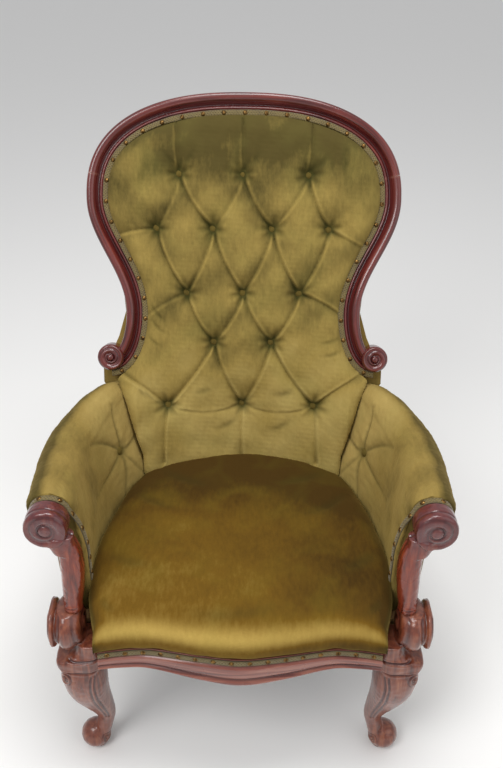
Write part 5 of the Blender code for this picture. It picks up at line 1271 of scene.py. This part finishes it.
def make_arm_posts():
    """The arm's front support: a shaped stem that swells, then turns over into a carved scroll."""
    # each ring of the stem is its middle (x, y, z) and its two half-widths
    stem = ((0.275, -0.3105, POST_FOOT, 0.0155, 0.0165), (0.275, -0.3105, POST_FOOT + 0.012, 0.0155, 0.0158),
            (0.2735, -0.308, 0.425, 0.0168, 0.0165), (0.2715, -0.306, 0.45, 0.0182, 0.0180),
            (0.2700, -0.303, 0.475, 0.0192, 0.0188), (0.2708, -0.300, 0.50, 0.0192, 0.0186),
            (0.2745, -0.298, 0.525, 0.0180, 0.0172), (0.286, -0.296, 0.552, 0.0172, 0.0150))
    work = bmesh.new()
    ring_body(work, [oval(x, y, z, a, b, 2.15) for x, y, z, a, b in rounded(stem, 6)])
    r, long, rounding = KNOB_R, KNOB_BACK - KNOB_FRONT, 0.007
    profile = [(0.0005, 0.0), (r - 0.004, 0.0), (r - 0.004, 0.0125), (r - 0.001, 0.0145), (r - 0.0003, 0.024)]
    profile += [(r - rounding + rounding * math.cos(a), long - 0.0125 + rounding * math.sin(a))
                for a in np.linspace(0, math.pi / 2, 8)]
    profile += [(0.0005, long - 0.0055)]
    lathe(work, profile, (KNOB_X, KNOB_BACK, KNOB_Z), (0, -1, 0), (0, 0, 1))
    throat = [oval(0.278 + 0.010 * t, -0.3005 + 0.001 * t, 0.515 + 0.034 * t, 0.0185 + 0.007 * t, 0.0172, 2.4)
              for t in np.linspace(0, 1, 8)]
    ring_body(work, throat)
    mesh = fused(work, "arm_post_right", 0.0013, 5)
    points, out = surface_of(mesh)
    a, b = points[:, 0] - KNOB_X, points[:, 2] - KNOB_Z
    radius, angle = np.hypot(a, b), np.arctan2(b, a)
    facing = ease(-out[:, 1], 0.45, 0.85) * (1 - ease(radius, KNOB_R - 0.002, KNOB_R))
    tall, recess = spiral(radius, angle, KNOB_R, math.radians(170), -1, ratio=0.42, eye=0.30)
    face = facing * (points[:, 1] < KNOB_FRONT + 0.025)
    height = face * (0.0042 * tall - 0.0012)
    recess = recess * face
    line = ((0.262, -0.326, 0.4085), (0.275, -0.328, 0.4075), (0.288, -0.326, 0.4085))
    lift, cut = cut_line(points, line, 0.0018, 0.0020, 0.0009)
    height, recess = height + lift, np.maximum(recess, cut)
    rim = np.exp(-((points[:, 1] - (KNOB_FRONT + 0.0205)) / 0.0018) ** 2) * ease(radius, 0.026, 0.031)
    height, recess = height - 0.0013 * rim, np.maximum(recess, 0.8 * rim)
    height = height + 0.0002 * uneven(points, 0.012, 61)
    both_sides(carved_mesh(mesh, points, out, height, recess), "carved_arm_post", POST_WOOD, "arm_post")


# Rings of the front leg from the floor up: z, middle (x, y), half-widths, and how square each is
LEG_RINGS = ((0.0015, 0.270, FOOT_Y + 0.001, 0.017, 0.018, 2.0),
             (0.010, 0.268, FOOT_Y + 0.002, 0.017, 0.018, 2.0),
             (0.045, 0.258, FOOT_Y, 0.0155, 0.017, 2.0),
             (0.083, 0.250, FOOT_Y, 0.0165, 0.0185, 2.0),
             (0.12, 0.254, FOOT_Y - 0.007, 0.0205, 0.0235, 2.2),
             (0.16, 0.262, FOOT_Y - 0.018, 0.027, 0.030, 2.4),
             (0.20, 0.268, FOOT_Y - 0.028, 0.0335, 0.036, 2.6),
             (0.232, 0.270, LEG_Y + 0.003, 0.0365, 0.037, 2.8),
             (0.258, LEG_X - 0.001, LEG_Y, 0.035, 0.034, 3.2),
             (0.276, LEG_X, LEG_Y, 0.0335, 0.0300, 4.0),
             (0.286, LEG_X, LEG_Y, 0.0375, 0.0330, 4.2),
             (0.300, LEG_X, LEG_Y, 0.0375, 0.0330, 4.2),
             (0.307, 0.2640, LEG_Y, 0.0290, 0.0300, 3.6),
             (0.318, 0.2545, LEG_Y, 0.0195, 0.0290, 3.4),
             (0.338, 0.2525, LEG_Y, 0.0175, 0.0280, 3.4))


def scroll_on(points, out, centre, axis, up, radius, depth, start, turn):
    """Height and recess of a scroll carved where the surface faces along an axis."""
    axis, up = np.array(axis, float), np.array(up, float)
    axis, up = axis / np.linalg.norm(axis), up / np.linalg.norm(up)
    side = np.cross(up, axis)
    away = points - np.array(centre)
    a, b = away @ side, away @ up
    r = np.hypot(a, b)
    mask = ease(out @ axis, 0.3, 0.65) * (1 - ease(r, radius * 0.93, radius * 1.02))
    mask = mask * ease(away @ axis, -0.012, -0.004)
    tall, recess = spiral(r, np.arctan2(b, a), radius, start, turn, ratio=0.5)
    return mask * (tall - 0.45) * depth, mask * recess, mask


def make_front_legs():
    """Cabriole leg: block and knee, slim ankle, ball foot, and the scrolled drum under the arm's post."""
    work = bmesh.new()
    ring_body(work, [oval(x, y, z, a, b, power) for z, x, y, a, b, power in rounded(LEG_RINGS, 5)])
    ball = [(FOOT_R * math.sin(a), FOOT_R * math.cos(a)) for a in np.linspace(math.pi, 0, 24)]
    lathe(work, ball, (FOOT_X, FOOT_Y, FOOT_R - 0.0015), (0, 0, 1), (1, 0, 0))
    half = VOLUTE_W / 2
    bulge = ((0.020, 0.0), (0.029, 0.0025), (0.036, 0.008), (0.042, 0.015), (VOLUTE_R, 0.024),
             (0.0435, 0.032), (0.038, 0.0385), (0.0335, 0.0415), (0.0365, 0.0440), (0.0405, 0.0465),
             (0.0405, 0.0510), (0.0375, VOLUTE_W))
    drum = [(0.0005, -half)] + [(radius, along - half) for radius, along in rounded(bulge, 4)]
    drum.append((0.0005, half))
    lathe(work, drum, (VOLUTE_X, VOLUTE_Y, VOLUTE_Z), (1, 0, 0), (0, 0, 1))
    mesh = fused(work, "front_leg_right", 0.0015, 5)
    work = bmesh.new()
    work.from_mesh(mesh)
    for height, up in ((LEG_TOP, (0, 0, 1)), (0.0, (0, 0, -1))):
        cut = bmesh.ops.bisect_plane(work, geom=work.verts[:] + work.edges[:] + work.faces[:], dist=1e-5,
                                     plane_co=(0, 0, height), plane_no=up, clear_outer=True)
        rim = [item for item in cut["geom_cut"] if isinstance(item, bmesh.types.BMEdge)]
        bmesh.ops.contextual_create(work, geom=rim)
    work.to_mesh(mesh)
    work.free()
    points, out = surface_of(mesh)
    height, recess, whole = np.zeros(len(points)), np.zeros(len(points)), np.zeros(len(points))
    # scrolls on both faces of the drum, on the knee and on the foot
    drum_middle, upright = (VOLUTE_X, VOLUTE_Y, VOLUTE_Z), (0, 0, 1)
    knee, foot = (LEG_X + 0.026, LEG_Y - 0.028, 0.262), (FOOT_X - 0.020, FOOT_Y - 0.012, FOOT_R + 0.002)
    for centre, axis, radius, depth, start, turn in (
            (drum_middle, (1, 0, 0), VOLUTE_R, 0.0055, math.pi / 2, 1),
            (drum_middle, (-1, 0, 0), VOLUTE_R, 0.0050, math.pi / 2, -1),
            (knee, (0.45, -0.9, 0.0), 0.0150, 0.0050, -math.pi / 2, -1),
            (foot, (-0.8, -0.6, 0.15), 0.0125, 0.0035, 0.0, 1)):
        lift, cut, mask = scroll_on(points, out, centre, axis, upright, radius, depth, start, turn)
        height, recess, whole = height + lift, np.maximum(recess, cut), np.maximum(whole, mask)
    plain = 1 - 0.9 * whole
    # two lines down the knee, two round the block, and one below the drum
    lines = ((((0.2455, 0, 0.272), (0.2490, 0, 0.240), (0.2475, 0, 0.20), (0.2450, 0, 0.16),
               (0.2425, 0, 0.12), (0.2420, 0, 0.095)), 0.0018, 0.0021),
             (((0.2520, 0, 0.272), (0.2560, 0, 0.240), (0.2545, 0, 0.20), (0.2515, 0, 0.16),
               (0.2480, 0, 0.125), (0.2460, 0, 0.100)), 0.0018, 0.0018),
             (((0.2360, 0, 0.3080), (0.2550, 0, 0.3060), (0.2760, 0, 0.3055), (0.2950, 0, 0.3100),
               (0.3080, 0, 0.3120)), 0.0019, 0.0022),
             (((0.2360, 0, 0.2840), (0.2520, 0, 0.2780), (0.2700, 0, 0.2770), (0.2880, 0, 0.2790),
               (0.3060, 0, 0.2830)), 0.0022, 0.0024),
             (((0.2750, 0, 0.322), (0.2885, 0, 0.3185), (0.3020, 0, 0.322)), 0.0022, 0.0020))
    for line, width, depth in lines:
        lift, cut = cut_line(points, line, width, depth, depth * 0.5, out)
        height, recess = height + lift * plain, np.maximum(recess, cut * plain)
    # the cut ends stay flat, where the post and the floor meet them
    z = points[:, 2]
    height = (height + 0.00025 * uneven(points, 0.015, 62)) * ease(LEG_TOP - 0.0008 - z, 0.0, 0.004)
    height = height * ease(z, 0.0002, 0.004)
    both_sides(carved_mesh(mesh, points, out, height, recess), "carved_front_leg", LEG_WOOD, "front_leg")


def make_front_rail():
    """The serpentine rail: a flat band for the gimp, a hollow, and a bead along its shaped lower edge."""
    x = np.linspace(-FRONT_RAIL_END, FRONT_RAIL_END, 300)
    y, low = front_rail_y(x), front_rail_bottom(x)
    band = RAIL_TOP - GIMP_W - 0.002
    # each point is how far back it lies, its share of the height from the lower edge to the band (and above
    # it, of the band's own scale), and its recess, which is painted as shade
    scale = 0.040
    above = (RAIL_TOP - band) / scale
    section = [(0.0010, 1 + above, 0), (0.0, 1 + above * 0.93, 0), (0.0, 1.02, 0.6), (-0.0014, 0.97, 0.4),
               (-0.0040, 0.90, 0.0), (-0.0048, 0.82, 0.0), (-0.0040, 0.45, 0.1), (-0.0030, 0.36, 0.4),
               (-0.0026, 0.30, 0.9), (-0.0048, 0.24, 0.3), (-0.0062, 0.18, 0.0), (-0.0066, 0.12, 0.0),
               (-0.0056, 0.06, 0.0), (-0.0030, 0.01, 0.2), (0.0, 0.0, 0.2), (0.004, 0.0, 0.0),
               (RAIL_T - 0.001, 0.0, 0.0), (RAIL_T, 0.02, 0.0), (RAIL_T, 1 + above * 0.93, 0),
               (RAIL_T - 0.001, 1 + above, 0)]
    section = rounded(section, 4)
    share = section[None, :, 1]
    z = low[:, None] + np.minimum(share, 1) * (band - low)[:, None] + np.maximum(share - 1, 0) * scale
    points = np.stack([np.broadcast_to(x[:, None], z.shape), y[:, None] + section[None, :, 0], z], -1)
    far = lengths(np.stack([x, y], 1))
    places = np.stack(np.broadcast_arrays(far[:, None], z), -1)
    shape = Shape()
    shape.grid(points, places, np.clip(section[None, :, 2], 0, 1), round_columns=True, capped=True)
    finished("front_rail", shape.mesh("front_rail"), RAIL_WOOD, ["front_seat_rail"], sharp=55)


# What hardly shows
def make_bottom_cloth():
    """Black cotton tacked under the seat, hanging a little between its edges."""
    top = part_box("bottom_cloth")[1].z
    count = 90
    back, across = np.linspace(0, 1, count)[:, None], np.linspace(-1, 1, count)[None, :]
    y = CLOTH_FRONT + (CLOTH_BACK - CLOTH_FRONT) * back * np.ones((1, count))
    # narrow between the front legs and between the back legs, and as wide as the seat between them
    half = np.where(y < -0.284, 0.233, np.where(y > 0.172, 0.190, seat_side(y) + 0.010))
    x = across * half
    # the front edge follows the serpentine rail
    y = y + (front_rail_y(x) + RAIL_T + 0.001 - CLOTH_FRONT) * (1 - ease(back, 0.0, 0.3))
    loose = np.sin(math.pi * back) * (1 - across ** 2)
    hang = loose * (0.006 + 0.0012 * uneven(np.stack([x, y, 0 * x], -1), 0.06, 71))
    z = top - 0.0002 - hang
    shape = Shape()
    two_sided(shape, np.stack([x, y, z], -1), np.stack([x, y, z - BOTTOM_CLOTH_T], -1))
    cloth = finished("bottom_cloth_sheet", shape.mesh("bottom_cloth_sheet"), BLACK_CLOTH,
                     ["bottom_cloth"])


def dress_hidden_pieces():
    """Gives the pieces of the frame and the upholstery that are carried over their own materials."""
    finishes = {BARE_BEECH: ["back_seat_rail", "lower_back_rail"], LEG_WOOD: [],
                HESSIAN: ["back_hessian", "spring_hessian"], WEBBING: ["back_webbing", "seat_webbing"],
                STEEL: [f"seat_spring_{n}" for n in range(1, 8)]}
    for side in ("left", "right"):
        finishes[BARE_BEECH] += [f"arm_rail_{side}", f"side_seat_rail_{side}",
                                 f"corner_block_back_{side}", f"corner_block_front_{side}"]
        finishes[LEG_WOOD].append(f"back_leg_{side}")
    for material, names in finishes.items():
        for name in names:
            obj = bpy.data.objects[name]
            obj.data.materials.clear()
            obj.data.materials.append(material)
    # the uprights are wood up to the seat's rail and wrapped in velvet above it
    for side in ("left", "right"):
        leg = bpy.data.objects[f"back_leg_{side}"]
        leg.data.materials.append(OUTSIDE_VELVET)
        for face in leg.data.polygons:
            face.material_index = int(face.center.z > RAIL_TOP + 0.01)
        worn = leg.modifiers.new("worn edges", "BEVEL")
        worn.width, worn.segments = 0.0022, 3
        worn.limit_method, worn.angle_limit = "ANGLE", math.radians(40)


def make_room():
    """A pale floor and soft light from large lamps."""
    mesh = bpy.data.meshes.new("floor")
    mesh.from_pydata([(-9, -9, 0), (9, -9, 0), (9, 9, 0), (-9, 9, 0)], [], [(0, 1, 2, 3)])
    floor = bpy.data.objects.new("floor", mesh)
    bpy.context.scene.collection.objects.link(floor)
    paint, _, shader = blank("pale_floor")
    shader.inputs["Base Color"].default_value = colour("#f3f2f0")
    shader.inputs["Roughness"].default_value = 0.9
    mesh.materials.append(paint)
    for name, power, size, place, aim in LAMPS:
        data = bpy.data.lights.new(name, "AREA")
        data.energy, data.size = power, size
        lamp = bpy.data.objects.new(name, data)
        lamp.location = place
        lamp.rotation_euler = (Vector(aim) - Vector(place)).to_track_quat("-Z", "Y").to_euler()
        bpy.context.scene.collection.objects.link(lamp)
    world = bpy.data.worlds.new("pale_room")
    world.use_nodes = True
    sky = world.node_tree.nodes["Background"]
    sky.inputs["Color"].default_value = colour("#f2f3f5")
    sky.inputs["Strength"].default_value = 0.62
    bpy.context.scene.world = world


def set_camera():
    """The picture was taken from above the seat's front edge, looking 33 degrees down."""
    level = math.cos(CAMERA_PITCH)
    ahead = Vector((math.sin(CAMERA_YAW) * level, math.cos(CAMERA_YAW) * level, -math.sin(CAMERA_PITCH)))
    right = Vector((math.cos(CAMERA_YAW), -math.sin(CAMERA_YAW), 0.0))
    down = ahead.cross(right)
    right_turned = right * math.cos(CAMERA_ROLL) + down * math.sin(CAMERA_ROLL)
    down_turned = down * math.cos(CAMERA_ROLL) - right * math.sin(CAMERA_ROLL)
    data = bpy.data.cameras.new("camera")
    data.lens, data.sensor_width = CAMERA_LENS, CAMERA_SENSOR
    camera = bpy.data.objects.new("camera", data)
    turn = Matrix((right_turned, -down_turned, -ahead)).transposed().to_4x4()
    camera.matrix_world = Matrix.Translation(CAMERA_AT + SHIFT) @ turn
    bpy.context.scene.collection.objects.link(camera)
    bpy.context.scene.camera = camera


make_back_frame()
make_back_pad()
make_back_buttons()
make_seat()
make_arms()
make_outside_arms()
make_outside_back()
make_gimps()
make_arm_posts()
make_front_legs()
make_front_rail()
make_bottom_cloth()
dress_hidden_pieces()
make_room()
set_camera()

bpy.context.scene.view_settings.view_transform = "Standard"
